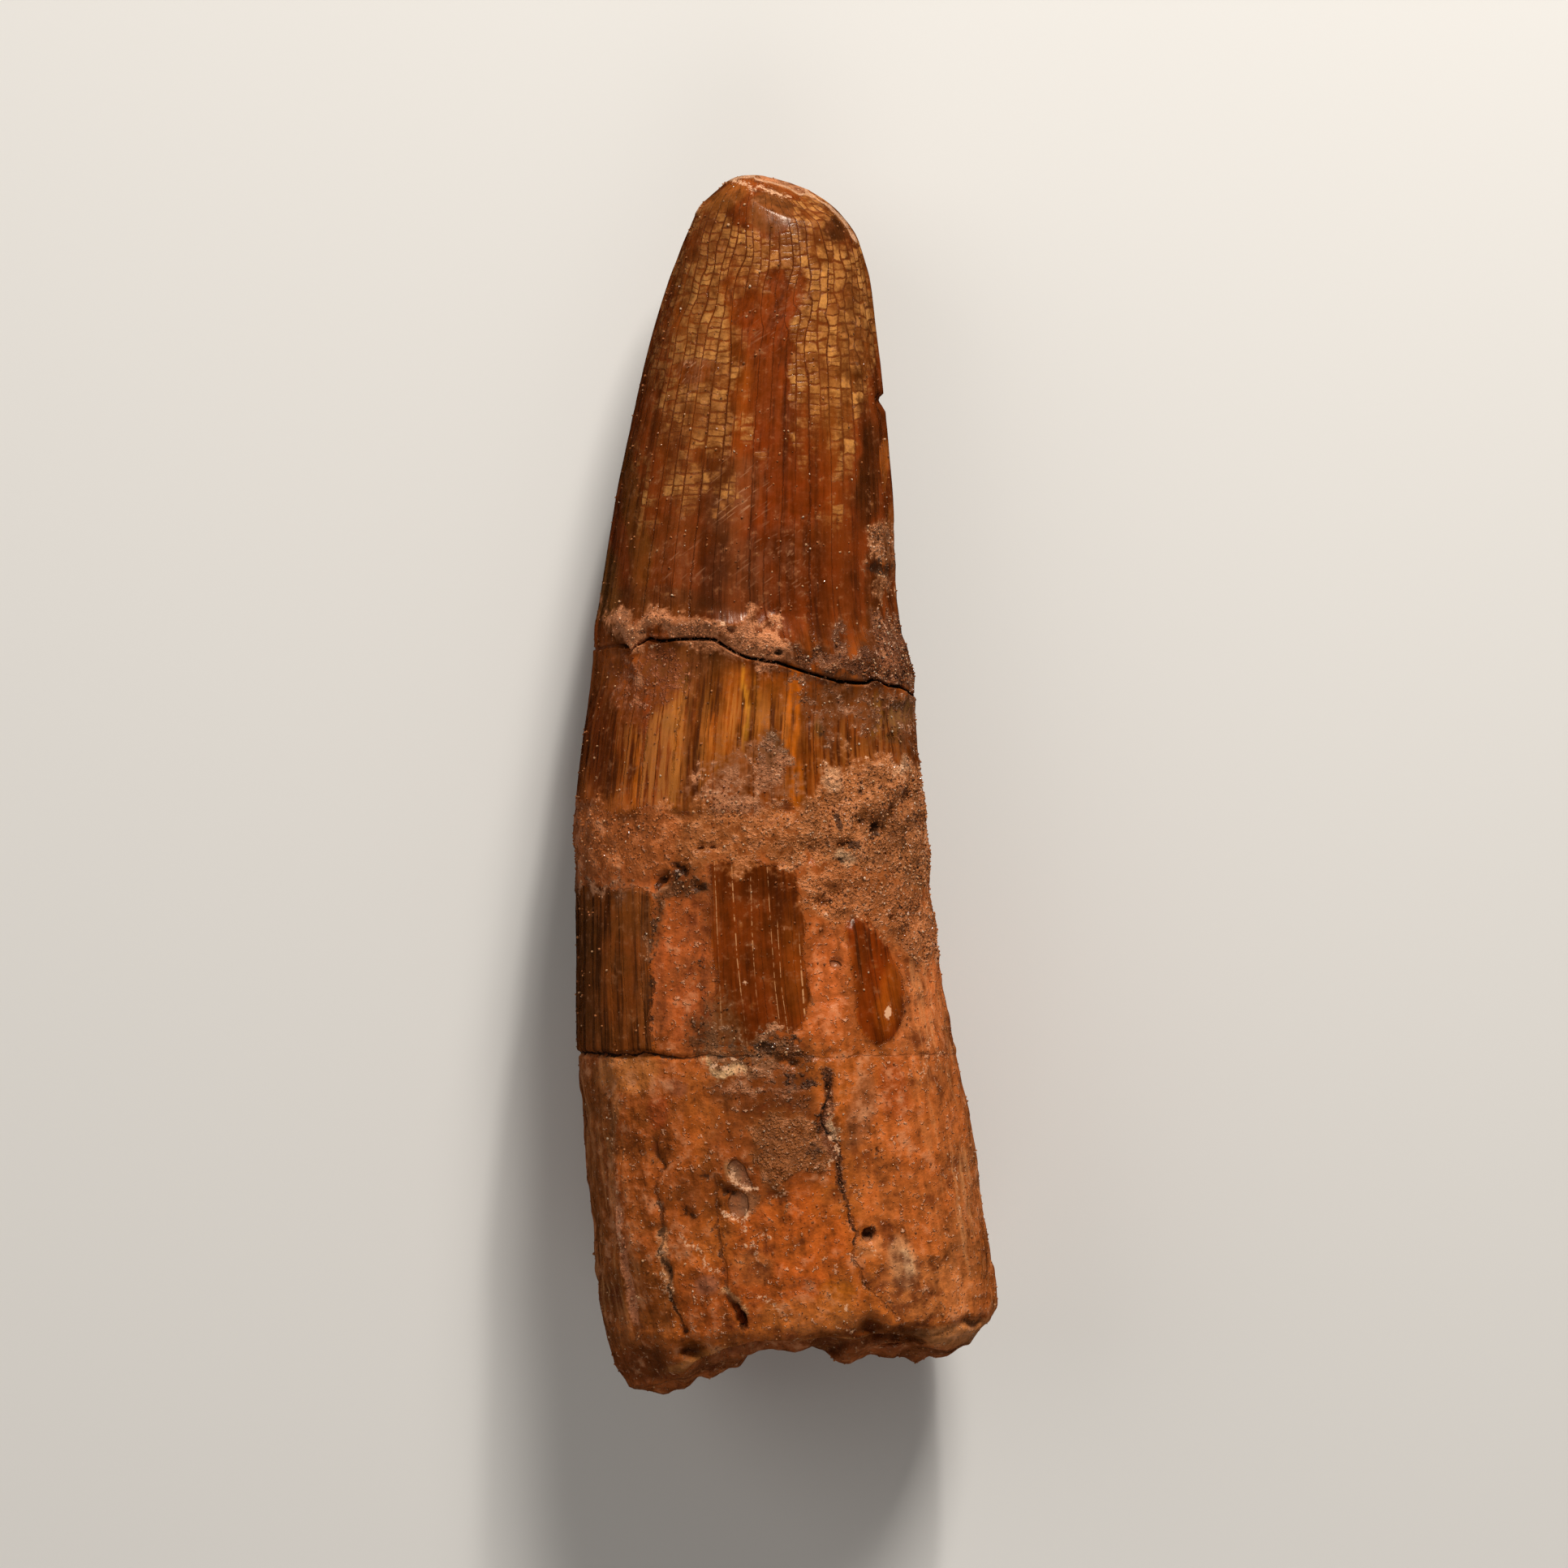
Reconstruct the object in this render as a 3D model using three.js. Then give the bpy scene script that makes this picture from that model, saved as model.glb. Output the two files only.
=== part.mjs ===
// A fossil spinosaurus tooth lying on its side: a tall, slightly curved cone of enamel and dentine,
// worn to a facet at the tip and snapped across the root. One solid. Millimetres.
// +Y runs from the broken root to the tip, +X to the carina on the right, +Z up out of the face
// that shows. The origin is on the surface that the tooth lies on, under the middle of its length
// and width.

import * as THREE from "three";
import { ImprovedNoise } from "three/addons/math/ImprovedNoise.js";
import { mergeVertices } from "three/addons/utils/BufferGeometryUtils.js";

// ---- Driving dimensions -------------------------------------------------------------------------

// Where the two edges of the tooth run, how thick it is and how high its belly hangs, from the
// root's rim to the tip. Y counts from the lowest splinter of the root. A belly below 0 is worn away
// to the flat that the tooth rests on.
const STATIONS = [
  { left: [-11.6, 0.4], right: [13.7, 3.4], thick: 18.2, belly: 1.7 }, // rim of the break
  { left: [-12.45, 1.5], right: [15.0, 4.5], thick: 20.4, belly: 0.6 },
  { left: [-13.2, 4.4], right: [15.55, 6.6], thick: 22.0, belly: -0.05 },
  { left: [-13.9, 8.0], right: [15.4, 8.6], thick: 22.6, belly: -0.3 },
  { left: [-14.4, 13.0], right: [14.65, 13.0], thick: 22.9, belly: -0.4 },
  { left: [-14.9, 18.6], right: [13.7, 18.6], thick: 22.7, belly: -0.4 },
  { left: [-15.25, 24.8], right: [12.7, 24.8], thick: 22.4, belly: -0.4 }, // lower fracture
  { left: [-15.35, 31.0], right: [11.5, 31.2], thick: 22.0, belly: -0.4 },
  { left: [-15.4, 36.8], right: [10.8, 36.8], thick: 21.5, belly: -0.35 },
  { left: [-15.55, 41.8], right: [10.4, 42.0], thick: 21.1, belly: -0.3 },
  { left: [-14.9, 48.4], right: [9.75, 47.6], thick: 20.3, belly: -0.1 },
  { left: [-14.15, 54.3], right: [9.5, 51.1], thick: 19.4, belly: 0.0 }, // upper fracture, lower lip
  { left: [-13.95, 54.9], right: [9.2, 51.8], thick: 19.5, belly: 0.25 }, // and its upper lip
  { left: [-13.4, 58.6], right: [8.2, 56.6], thick: 18.8, belly: 0.4 },
  { left: [-12.15, 66.8], right: [7.65, 66.4], thick: 16.7, belly: 0.9 },
  { left: [-10.95, 72.6], right: [7.1, 72.6], thick: 14.9, belly: 1.5 },
  { left: [-9.4, 78.8], right: [6.4, 78.8], thick: 12.9, belly: 2.3 },
  { left: [-8.0, 83.4], right: [5.75, 83.4], thick: 11.1, belly: 3.1 },
  { left: [-7.15, 86.0], right: [4.95, 86.1], thick: 9.8, belly: 3.7 },
  { left: [-6.35, 87.7], right: [3.85, 87.5], thick: 8.4, belly: 4.4 },
  { left: [-5.0, 89.1], right: [2.25, 88.7], thick: 6.4, belly: 5.2 },
  { left: [-4.2, 89.8], right: [0.4, 89.6], thick: 4.2, belly: 6.4 },
  { left: [-2.2, 90.2], right: [-2.2, 90.2], thick: 0, belly: 8.4 }, // apex
];
const LOWER_LIP = 11; // the stations on either side of the upper fracture
const UPPER_LIP = 12;
const LOWER_FRACTURE = 6; // the station that the lower fracture follows

// A root's section is a rounded box, a crown's an ellipse: the power in |x/a|^n + |z/b|^n = 1.
const ROOT_POWER = 2.35;
const CROWN_POWER = 2.0;
const NECK_START = 25; // y where the root's section starts to turn into the crown's
const CROWN_START = 50; // y where the crown begins, above the worn neck

const CARINA_RISE = 0.3; // the cutting edge along each side of the crown
const FLUTE_RISE = 0.11; // the fine ridges down the crown, one on every second facet
const FLUTES_END = 86; // y where the flutes are worn off
const RIDGE_FADE = 8; // how far the ridges take to rise out of the neck

// The upper fracture bows above the straight line between its ends: share of the way from left to
// right, and mm.
const FRACTURE_BOW_FRONT = [
  [0, 0], [0.16, 1.5], [0.38, 2.1], [0.5, 1.25], [0.76, 0.5], [0.9, 0.8], [1, 0],
];
const FRACTURE_BOW_BACK = [[0, 0], [0.3, -1.3], [0.55, 0.4], [0.8, 1.1], [1, 0]];
const FRACTURE_DEPTH = 0.55;
const FRACTURE_DEPTH_BACK = 0.33;
const FRACTURE_OPENS = [-0.95, -0.6]; // the stretch of the face, counted as `across`, where it opens
const LIP_RAMP = 0.4; // of the step between the lips
const LOWER_FRACTURE_DEPTH = 0.35;
const LOWER_FRACTURE_HEALS = [0, 0.8]; // the stretch, counted as `across`, where the lower one closes

// The snapped end: how far along the root each part of the break starts, from left to right, at
// half the thickness.
const BREAK_EDGE = [
  [-12.0, 0.5], [-11.2, 0.05], [-9.4, 0.0], [-7.6, 0.4], [-5.6, 1.3], [-3.8, 2.0], [-1.6, 2.7],
  [-0.2, 2.6], [0.8, 2.3], [2.6, 2.45], [4.8, 2.0], [6.6, 2.65], [8.6, 2.85], [11.8, 2.5],
  [13.4, 3.3], [15.0, 4.3],
];
const FRONT_LIP_RISE = 3.1; // the face's lip stands back from the deepest part of the break
const BACK_LIP_RISE = 1.5;
// The pulp cavity, which sand fills: its centre's x and z, its half-sizes and how far in it goes.
const PULP_HOLLOW = { at: [1.2, 10.8], size: [6.2, 3.8], depth: 2.6 };
// Lumps of the broken end, which are there in full from `start` inwards, counted from the rim.
const BREAK_LUMPS = { length: 5.2, height: 0.8, start: 0.4 };
const RIM_REACH = 2.2; // stations over which the wall still follows the ragged rim

// Raised sand crusts and sunken bare dentine on the face: centre, half-sizes and rise.
const FACE_RELIEF = [
  { at: [-0.6, 55.6], size: [6.0, 2.6], rise: 0.28 }, // sand above the upper fracture
  { at: [-11.0, 55.4], size: [3.0, 1.8], rise: 0.22 },
  { at: [7.2, 55.0], size: [1.6, 2.4], rise: 0.25 },
  { at: [7.2, 62.0], size: [0.9, 2.6], rise: 0.22 },
  { at: [6.0, 43.5], size: [5.5, 3.4], rise: 0.35 }, // sand band round the neck
  { at: [-3.5, 41.6], size: [7.5, 2.4], rise: 0.25 },
  { at: [-1.4, 46.8], size: [1.5, 2.0], rise: 0.3 },
  { at: [7.8, 37.5], size: [3.0, 3.6], rise: 0.28 },
  { at: [-7.4, 30.6], size: [2.3, 5.6], rise: -0.35 }, // dentine bared between panels of enamel
  { at: [2.9, 29.4], size: [1.5, 4.8], rise: -0.3 },
  { at: [10.3, 28.0], size: [2.0, 4.4], rise: -0.25 },
  { at: [-1.0, 24.4], size: [3.8, 0.9], rise: -0.3 },
  { at: [-1.6, 18.2], size: [4.6, 2.2], rise: 0.3 }, // crusts on the root
  { at: [-0.4, 12.2], size: [4.4, 3.6], rise: -0.3 },
  { at: [-3.6, 14.6], size: [1.0, 1.2], rise: -0.45 },
  { at: [6.2, 11.5], size: [1.1, 1.1], rise: -0.5 }, // pit at the foot of the long crack
  { at: [-3.1, 5.4], size: [0.9, 1.9], rise: -0.9 }, // slot that opens into the break
  { at: [-9.6, 1.9], size: [1.8, 1.3], rise: -0.8 }, // hollows along the broken lip
  { at: [-6.9, 3.2], size: [1.2, 0.9], rise: -0.7 },
  { at: [3.2, 3.5], size: [1.2, 0.8], rise: -0.7 },
  { at: [7.9, 4.2], size: [2.6, 1.2], rise: -0.9 },
];
const PATCH_EDGE = [0.6, 1.3]; // where a patch starts to fall off and where it ends, in half-sizes
// The long cracks that run up the root, each as points from the break upwards.
const ROOT_CRACKS = [
  [[7.6, 5.6], [5.6, 8.6], [4.9, 11.4], [4.3, 15.0], [4.5, 17.6], [3.4, 19.2], [3.5, 23.0]],
  [[-3.4, 4.4], [-4.4, 7.4], [-4.9, 11.4], [-5.2, 16.4]],
  [[-11.2, 4.4], [-11.8, 9.2], [-12.4, 14.0]],
];
const ROOT_CRACK_DEPTH = 0.28;
const ROOT_CRACK_WIDTH = 0.7;

// Lumps too slight to name: wavelength and height, on the root and on the crown.
const LUMP_LENGTH = 6.5;
const ROOT_LUMP = 0.22;
const CROWN_LUMP = 0.07;

// The tip's wear facet faces up and to the right. The belly's wear is level, and the tooth rests on it.
const TIP_FACET = { normal: [0.27, 0.78, 0.56], through: [-0.8, 88.4, 11.0] };
const REST_FACET = { normal: [0, 0, -1], through: [0, 0, 0] };

const SIDES = 52; // facets round the tooth: even, because the flutes take every second one
const RINGS_PER_STATION = 4;
const END_RINGS = 7; // rings across the broken end
const FACE_EDGE = 0.3; // `up` where what lies on the face is there in full

// ---- Curves -------------------------------------------------------------------------------------

const { lerp, smoothstep } = THREE.MathUtils;

// A curve through the stations that keeps each station at an equal step of its parameter, however
// close they lie.
function rail(pointOf) {
  const points = STATIONS.map((s) => new THREE.Vector3(...pointOf(s)));
  return new THREE.CatmullRomCurve3(points, false, "chordal");
}

const middleY = (s) => (s.left[1] + s.right[1]) / 2;
const leftRail = rail((s) => [...s.left, 0]);
const rightRail = rail((s) => [...s.right, 0]);
const depthRail = rail((s) => [middleY(s), s.thick, s.belly]);

// The height of a polyline at x, with rounded steps between its points.
function profileAt(points, x) {
  const next = points.findIndex((p) => p[0] > x);
  if (next === 0) return points[0][1];
  if (next < 0) return points[points.length - 1][1];
  const [x0, y0] = points[next - 1];
  const [x1, y1] = points[next];
  return lerp(y0, y1, smoothstep(x, x0, x1));
}

// Distance from (x, y) to a polyline.
function distanceTo(points, x, y) {
  const here = new THREE.Vector3(x, y, 0);
  const nearest = new THREE.Vector3();
  const spans = points.slice(1).map(([x1, y1], i) => {
    const [x0, y0] = points[i];
    new THREE.Line3(new THREE.Vector3(x0, y0, 0), new THREE.Vector3(x1, y1, 0))
      .closestPointToPoint(here, true, nearest);
    return nearest.distanceTo(here);
  });
  return Math.min(...spans);
}

// ---- Form ---------------------------------------------------------------------------------------

const perlin = new ImprovedNoise();

// One section of the tooth, where `along` counts stations from the root's rim.
function sectionAt(along) {
  const share = along / (STATIONS.length - 1);
  const left = leftRail.getPoint(share);
  const right = rightRail.getPoint(share);
  const depth = depthRail.getPoint(share);
  const power = lerp(ROOT_POWER, CROWN_POWER, smoothstep(depth.x, NECK_START, CROWN_START));
  return { left, right, halfThick: depth.y / 2, middleZ: depth.z + depth.y / 2, power };
}

// A point on a section: `across` is -1 at the left edge and 1 at the right, `up` is -1 at the belly
// and 1 at the face.
function pointIn(section, across, up) {
  const middle = (1 + across) / 2;
  return new THREE.Vector3(
    lerp(section.left.x, section.right.x, middle),
    lerp(section.left.y, section.right.y, middle),
    section.middleZ + up * section.halfThick,
  );
}

// The direction straight out of a section's outline.
function outwardOf(section, across, up) {
  const halfWide = (section.right.x - section.left.x) / 2;
  return new THREE.Vector3(across * section.halfThick, 0, up * halfWide).normalize();
}

// How far the upper fracture bows at this place, and how much of that bow a section near it takes.
function fractureBow(along, across, up) {
  const share = (1 + across) / 2;
  const front = profileAt(FRACTURE_BOW_FRONT, share);
  const back = profileAt(FRACTURE_BOW_BACK, share);
  const below = smoothstep(along, LOWER_LIP - 1, LOWER_LIP);
  const above = 1 - smoothstep(along, UPPER_LIP, UPPER_LIP + 1);
  return below * above * lerp(back, front, smoothstep(up, -FACE_EDGE, FACE_EDGE));
}

// The upper fracture is a groove between its two lips that closes towards the left of the face.
function upperGroove(along, across, up) {
  const opening = smoothstep(along, LOWER_LIP, LOWER_LIP + LIP_RAMP);
  const closing = smoothstep(along, UPPER_LIP - LIP_RAMP, UPPER_LIP);
  const depthOnFace = FRACTURE_DEPTH * smoothstep(across, ...FRACTURE_OPENS);
  return -opening * (1 - closing) * (up > 0 ? depthOnFace : FRACTURE_DEPTH_BACK);
}

// The lower one is a hairline on one ring, which heals towards the right.
function lowerGroove(along, across) {
  const line = 1 - smoothstep(Math.abs(along - LOWER_FRACTURE), 0, 1 / RINGS_PER_STATION);
  return -LOWER_FRACTURE_DEPTH * line * (1 - smoothstep(across, ...LOWER_FRACTURE_HEALS));
}

// Ridges of the crown: the carina at each edge, and a flute on every second facet.
function crownRidge(y, facet) {
  const rising = smoothstep(y, CROWN_START, CROWN_START + RIDGE_FADE);
  const worn = smoothstep(y, FLUTES_END - RIDGE_FADE / 2, FLUTES_END);
  const carina = facet % (SIDES / 2) === 0 ? CARINA_RISE : 0;
  const flute = facet % 2 === 0 ? FLUTE_RISE : 0;
  return rising * (1 - worn) * (carina + flute);
}

// Crusts, hollows and long cracks, which lie on the face, and slight lumps all round.
function surfaceRelief(point, up) {
  const onFace = smoothstep(up, 0, FACE_EDGE);
  const patches = FACE_RELIEF.reduce((sum, { at, size, rise }) => {
    const spread = Math.hypot((point.x - at[0]) / size[0], (point.y - at[1]) / size[1]);
    return sum + rise * (1 - smoothstep(spread, ...PATCH_EDGE));
  }, 0);
  const nearest = Math.min(...ROOT_CRACKS.map((crack) => distanceTo(crack, point.x, point.y)));
  const cracks = -ROOT_CRACK_DEPTH * (1 - smoothstep(nearest, 0, ROOT_CRACK_WIDTH));
  const onCrown = smoothstep(point.y, CROWN_START - RIDGE_FADE, CROWN_START + RIDGE_FADE);
  const { x, y, z } = point.clone().divideScalar(LUMP_LENGTH);
  const lump = lerp(ROOT_LUMP, CROWN_LUMP, onCrown) * perlin.noise(x, y, z);
  return onFace * (patches + cracks) + lump;
}

// How far up the root the break lies at a point of it. `reach` is 0 in the middle of the break and
// 1 at its rim.
function breakHeight(x, z, up, reach) {
  const lip = (up > 0 ? FRONT_LIP_RISE : BACK_LIP_RISE) * up * up;
  const { at, size, depth } = PULP_HOLLOW;
  const spread = Math.hypot((x - at[0]) / size[0], (z - at[1]) / size[1]);
  const hollow = depth * (1 - smoothstep(spread, ...PATCH_EDGE));
  const { length, height, start } = BREAK_LUMPS;
  const lump = height * smoothstep(1 - reach, 0, start) * perlin.noise(x / length, 0, z / length);
  return profileAt(BREAK_EDGE, x) + lip + hollow + lump;
}

// The tooth's wall, from the root's rim to the apex.
function wallPoint(turn, along, facet) {
  const section = sectionAt(along);
  const across = -signedPower(Math.cos(turn), 2 / section.power);
  const up = signedPower(Math.sin(turn), 2 / section.power);
  const point = pointIn(section, across, up);
  point.y += fractureBow(along, across, up);
  const grooves = upperGroove(along, across, up) + lowerGroove(along, across);
  const relief = grooves + crownRidge(point.y, facet) + surfaceRelief(point, up);
  const untilApex = smoothstep(section.halfThick, 0, 1); // the skin closes there in one point
  point.addScaledVector(outwardOf(section, across, up), relief * untilApex);
  const rim = breakHeight(point.x, point.z, up, 1) - middleRimY(across);
  point.y += rim * (1 - smoothstep(along, 0, RIM_REACH));
  return point;
}

// The straight rim that the break's own heights are laid over.
function middleRimY(across) {
  return lerp(STATIONS[0].left[1], STATIONS[0].right[1], (1 + across) / 2);
}

// The broken end, from its rim inwards.
function breakPoint(turn, reach) {
  const section = sectionAt(0);
  const across = -signedPower(Math.cos(turn), 2 / section.power) * reach;
  const up = signedPower(Math.sin(turn), 2 / section.power) * reach;
  const point = pointIn(section, across, up);
  point.y = breakHeight(point.x, point.z, up, reach);
  return point;
}

function signedPower(value, power) {
  return Math.sign(value) * Math.abs(value) ** power;
}

// Moves a point that lies outside a wear facet on to it.
function shave(point, { normal, through }) {
  const plane = new THREE.Plane().setFromNormalAndCoplanarPoint(
    new THREE.Vector3(...normal).normalize(),
    new THREE.Vector3(...through),
  );
  if (plane.distanceToPoint(point) > 0) plane.projectPoint(point.clone(), point);
}

// The whole skin is a sphere's grid, with one pole at the apex and the other in the middle of the break.
function toothGeometry() {
  const wallRings = (STATIONS.length - 1) * RINGS_PER_STATION;
  const rings = wallRings + END_RINGS;
  const skin = new THREE.SphereGeometry(1, SIDES, rings);
  const position = skin.getAttribute("position");
  const grid = skin.getAttribute("uv");
  for (let i = 0; i < position.count; i++) {
    const facet = Math.round(grid.getX(i) * SIDES) % SIDES;
    const ring = Math.round(grid.getY(i) * rings); // 0 in the middle of the break
    const turn = (facet / SIDES) * 2 * Math.PI;
    const point = ring < END_RINGS
      ? breakPoint(turn, ring / END_RINGS)
      : wallPoint(turn, (ring - END_RINGS) / RINGS_PER_STATION, facet);
    shave(point, TIP_FACET);
    shave(point, REST_FACET);
    position.setXYZ(i, point.x, point.y, point.z);
  }
  skin.deleteAttribute("normal");
  skin.deleteAttribute("uv");
  const solid = mergeVertices(skin, 1e-3);
  solid.computeBoundingBox();
  const middle = solid.boundingBox.getCenter(new THREE.Vector3());
  solid.translate(-middle.x, -middle.y, -solid.boundingBox.min.z);
  solid.computeVertexNormals();
  return solid;
}

// ---- Model --------------------------------------------------------------------------------------

const fossilEnamel = new THREE.MeshStandardMaterial({ color: 0x8a4519, roughness: 0.45, metalness: 0 });

const tooth = new THREE.Mesh(toothGeometry(), fossilEnamel);
tooth.name = "tooth";

const part = new THREE.Group();
part.add(tooth);

export default part;
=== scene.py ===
# A fossil spinosaurus tooth lying on its side on a pale floor, seen from straight above, its tip at the top.
# Lengths are millimetres until a mesh is made. X runs to the carina on the right, Y to the tip and Z up, out
# of the face. Marks on the tooth are placed by (u, v): where they are seen from the camera, on a level plane
# through the tooth's middle.

import itertools
import math
from types import SimpleNamespace

import bpy
import numpy as np
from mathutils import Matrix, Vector

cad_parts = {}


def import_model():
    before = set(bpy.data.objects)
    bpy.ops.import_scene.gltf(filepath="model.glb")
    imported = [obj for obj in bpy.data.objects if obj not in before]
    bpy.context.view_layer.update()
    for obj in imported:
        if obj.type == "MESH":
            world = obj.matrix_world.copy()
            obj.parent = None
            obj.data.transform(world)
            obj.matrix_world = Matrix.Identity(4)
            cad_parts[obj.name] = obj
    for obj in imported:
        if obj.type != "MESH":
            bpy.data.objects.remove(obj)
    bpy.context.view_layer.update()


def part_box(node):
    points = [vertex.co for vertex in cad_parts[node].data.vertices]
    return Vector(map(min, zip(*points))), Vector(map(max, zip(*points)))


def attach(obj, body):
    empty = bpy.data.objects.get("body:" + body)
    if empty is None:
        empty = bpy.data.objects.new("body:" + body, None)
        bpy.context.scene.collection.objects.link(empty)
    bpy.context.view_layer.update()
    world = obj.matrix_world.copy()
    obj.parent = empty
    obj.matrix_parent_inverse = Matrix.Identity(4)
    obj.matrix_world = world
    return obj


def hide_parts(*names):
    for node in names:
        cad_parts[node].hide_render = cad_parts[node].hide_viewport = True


MM = 0.001
SEED = 41

# ---- The tooth's outline and depth ----
# (left edge x, y), (right edge x, y), thickness, height of the belly; from the rim of the break to the tip.
STATIONS = [
    ((-11.6, 0.4), (13.7, 3.4), 18.2, 1.7),
    ((-12.45, 1.5), (15.0, 4.5), 20.4, 0.6),
    ((-13.2, 4.4), (15.55, 6.6), 22.0, -0.05),
    ((-13.9, 8.0), (15.4, 8.6), 22.6, -0.3),
    ((-14.4, 13.0), (14.65, 13.0), 22.9, -0.4),
    ((-14.9, 18.6), (13.7, 18.6), 22.7, -0.4),
    ((-15.25, 24.8), (12.7, 24.8), 22.4, -0.4),
    ((-15.35, 31.0), (11.5, 31.2), 22.0, -0.4),
    ((-15.4, 36.8), (10.8, 36.8), 21.5, -0.35),
    ((-15.55, 41.8), (10.4, 42.0), 21.1, -0.3),
    ((-14.9, 48.4), (9.75, 47.6), 20.3, -0.1),
    ((-13.95, 54.3), (9.5, 51.1), 19.4, 0.0),
    ((-13.95, 54.9), (9.45, 51.8), 19.5, 0.25),
    ((-13.4, 58.6), (8.2, 56.6), 18.8, 0.4),
    ((-12.15, 66.8), (7.65, 66.4), 16.7, 0.9),
    ((-10.95, 72.6), (7.1, 72.6), 14.9, 1.5),
    ((-9.4, 78.8), (6.4, 78.8), 12.9, 2.3),
    ((-8.0, 83.4), (5.75, 83.4), 11.1, 3.1),
    ((-7.15, 86.0), (4.95, 86.1), 9.8, 3.7),
    ((-6.35, 87.7), (3.85, 87.5), 8.4, 4.4),
    ((-5.0, 89.1), (2.25, 88.7), 6.4, 5.2),
    ((-4.2, 89.8), (0.4, 89.6), 4.2, 6.4),
    ((-2.2, 90.2), (-2.2, 90.2), 0.0, 8.4),
]
UPPER_FRACTURE = 11.5  # halfway between the stations of its two lips
LOWER_FRACTURE = 6.0
ROOT_POWER, CROWN_POWER = 2.35, 2.0  # the power n in |x/a|^n + |z/b|^n = 1
NECK_START, CROWN_START = 25.0, 50.0
CARINA_RISE = 0.3
FLUTES = 26  # fine ridges down the crown on each side of the tooth
FLUTE_RISE = 0.028
TIP_FACET = ((0.27, 0.78, 0.56), (-0.8, 88.4, 11.0))  # direction it faces and a point on it
CROWN_ENAMEL_START = 42.8  # where the crown's enamel starts to cover the dentine, as seen
CROWN_RISE, PANEL_RISE, PANEL_FLUTE_RISE = 0.1, 0.13, 0.03
FLAKE_RISE = (0.13, 0.08)  # of large and small flakes of dentine
CRACK_DEPTH, SIDE_CRACK_DEPTH = 0.26, 0.25
UPPER_DEPTH, LOWER_DEPTH = (0.2, 0.55), (0.26, 0.05)  # of the fractures, at the left and further right

# How far up each part of the break starts, from left to right, at half the thickness.
BREAK_EDGE = [
    (-12.0, 0.5), (-11.2, 0.05), (-9.4, 0.0), (-7.6, 0.4), (-5.6, 1.3), (-3.8, 2.0), (-1.6, 2.7),
    (-0.2, 2.6), (0.8, 2.3), (2.6, 2.45), (4.8, 2.0), (6.6, 2.65), (8.6, 2.85), (11.8, 2.5), (13.4, 3.3),
    (15.0, 4.3),
]
FACE_LIP, BACK_LIP = 3.1, 1.5
# Painted shade, laid into the hollows of the lip of the break.
LIP_PAINTED_SHADE = "#50290f"
BREAK_COLOURS = ("#9c5426", "#6b3a1c")
PULP_COLOUR, PULP_SAND_COLOUR = "#8c6a48", "#a26a3c"
PULP_HOLLOW = ((1.2, 10.8), (6.2, 3.8), 2.6)  # centre x and z, half-sizes, depth
RIM_REACH = 2.2  # stations over which the wall still follows the ragged rim

# The grid of the fine mesh.
FACE_SIDES, BACK_SIDES = 156, 104
WALL_RINGS, BREAK_RINGS = 352, 31
CLOSER_AT_FRACTURES = [(2.6, 0.8), (1.3, 0.6)]  # how much closer the rings are, and over how far
FINE_STEPS = 6001  # along the tooth, to measure it by
HALF_WIDE, HALF_THICK = 14, 10  # about the tooth's, to measure its fibre by

# ---- The camera ----
VIEW_CENTRE = (-0.09, 44.82)
VIEW_PLANE = 11.0  # height of the plane on which u and v are measured
VIEW_DISTANCE = 322.0  # of the camera above that plane
LENS, SENSOR = 100.0, 36.0

# ---- Fractures, cracks and edges, as seen ----
UPPER_TRACE = [
    (-14.5, 54.7), (-12.6, 55.1), (-11.8, 55.0), (-11.3, 54.6), (-10.9, 55.1), (-10.2, 55.6), (-9.3, 55.4),
    (-7.9, 55.5), (-6.6, 55.6), (-5.2, 55.5), (-4.6, 55.1), (-3.8, 54.6), (-2.9, 54.2), (-1.9, 54.0),
    (-0.45, 53.8), (1.3, 53.2), (2.5, 52.8), (3.8, 52.5), (5.2, 52.3), (6.1, 52.3), (6.6, 52.6),
    (7.0, 52.4), (7.6, 52.1), (8.5, 52.0), (9.0, 51.7), (9.6, 51.3),
]
LOWER_TRACE = [
    (-15.8, 25.0), (-12.8, 24.8), (-11.5, 24.7), (-10.9, 24.9), (-9.9, 24.8), (-7.6, 24.5), (-5.5, 24.8),
    (-3.8, 24.5), (-1.6, 24.8), (1.1, 24.7), (3.1, 24.5), (5.5, 24.8), (7.9, 24.7), (10.0, 24.8),
    (12.8, 24.8),
]
# How each fracture wanders over the back: share of the way to the right, and mm up the tooth.
UPPER_BOW = [(0, 0), (0.3, -1.3), (0.55, 0.4), (0.8, 1.1), (1, 0)]
LOWER_BOW = [(0, 0), (0.4, 0.5), (0.7, -0.4), (1, 0)]
# Station, trace on the face, bow on the back, and over how many stations the rings bend fully and at all.
FRACTURES = [
    (UPPER_FRACTURE, UPPER_TRACE, UPPER_BOW, 0.5, 1.5),
    (LOWER_FRACTURE, LOWER_TRACE, LOWER_BOW, 0.1, 1),
]
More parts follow.
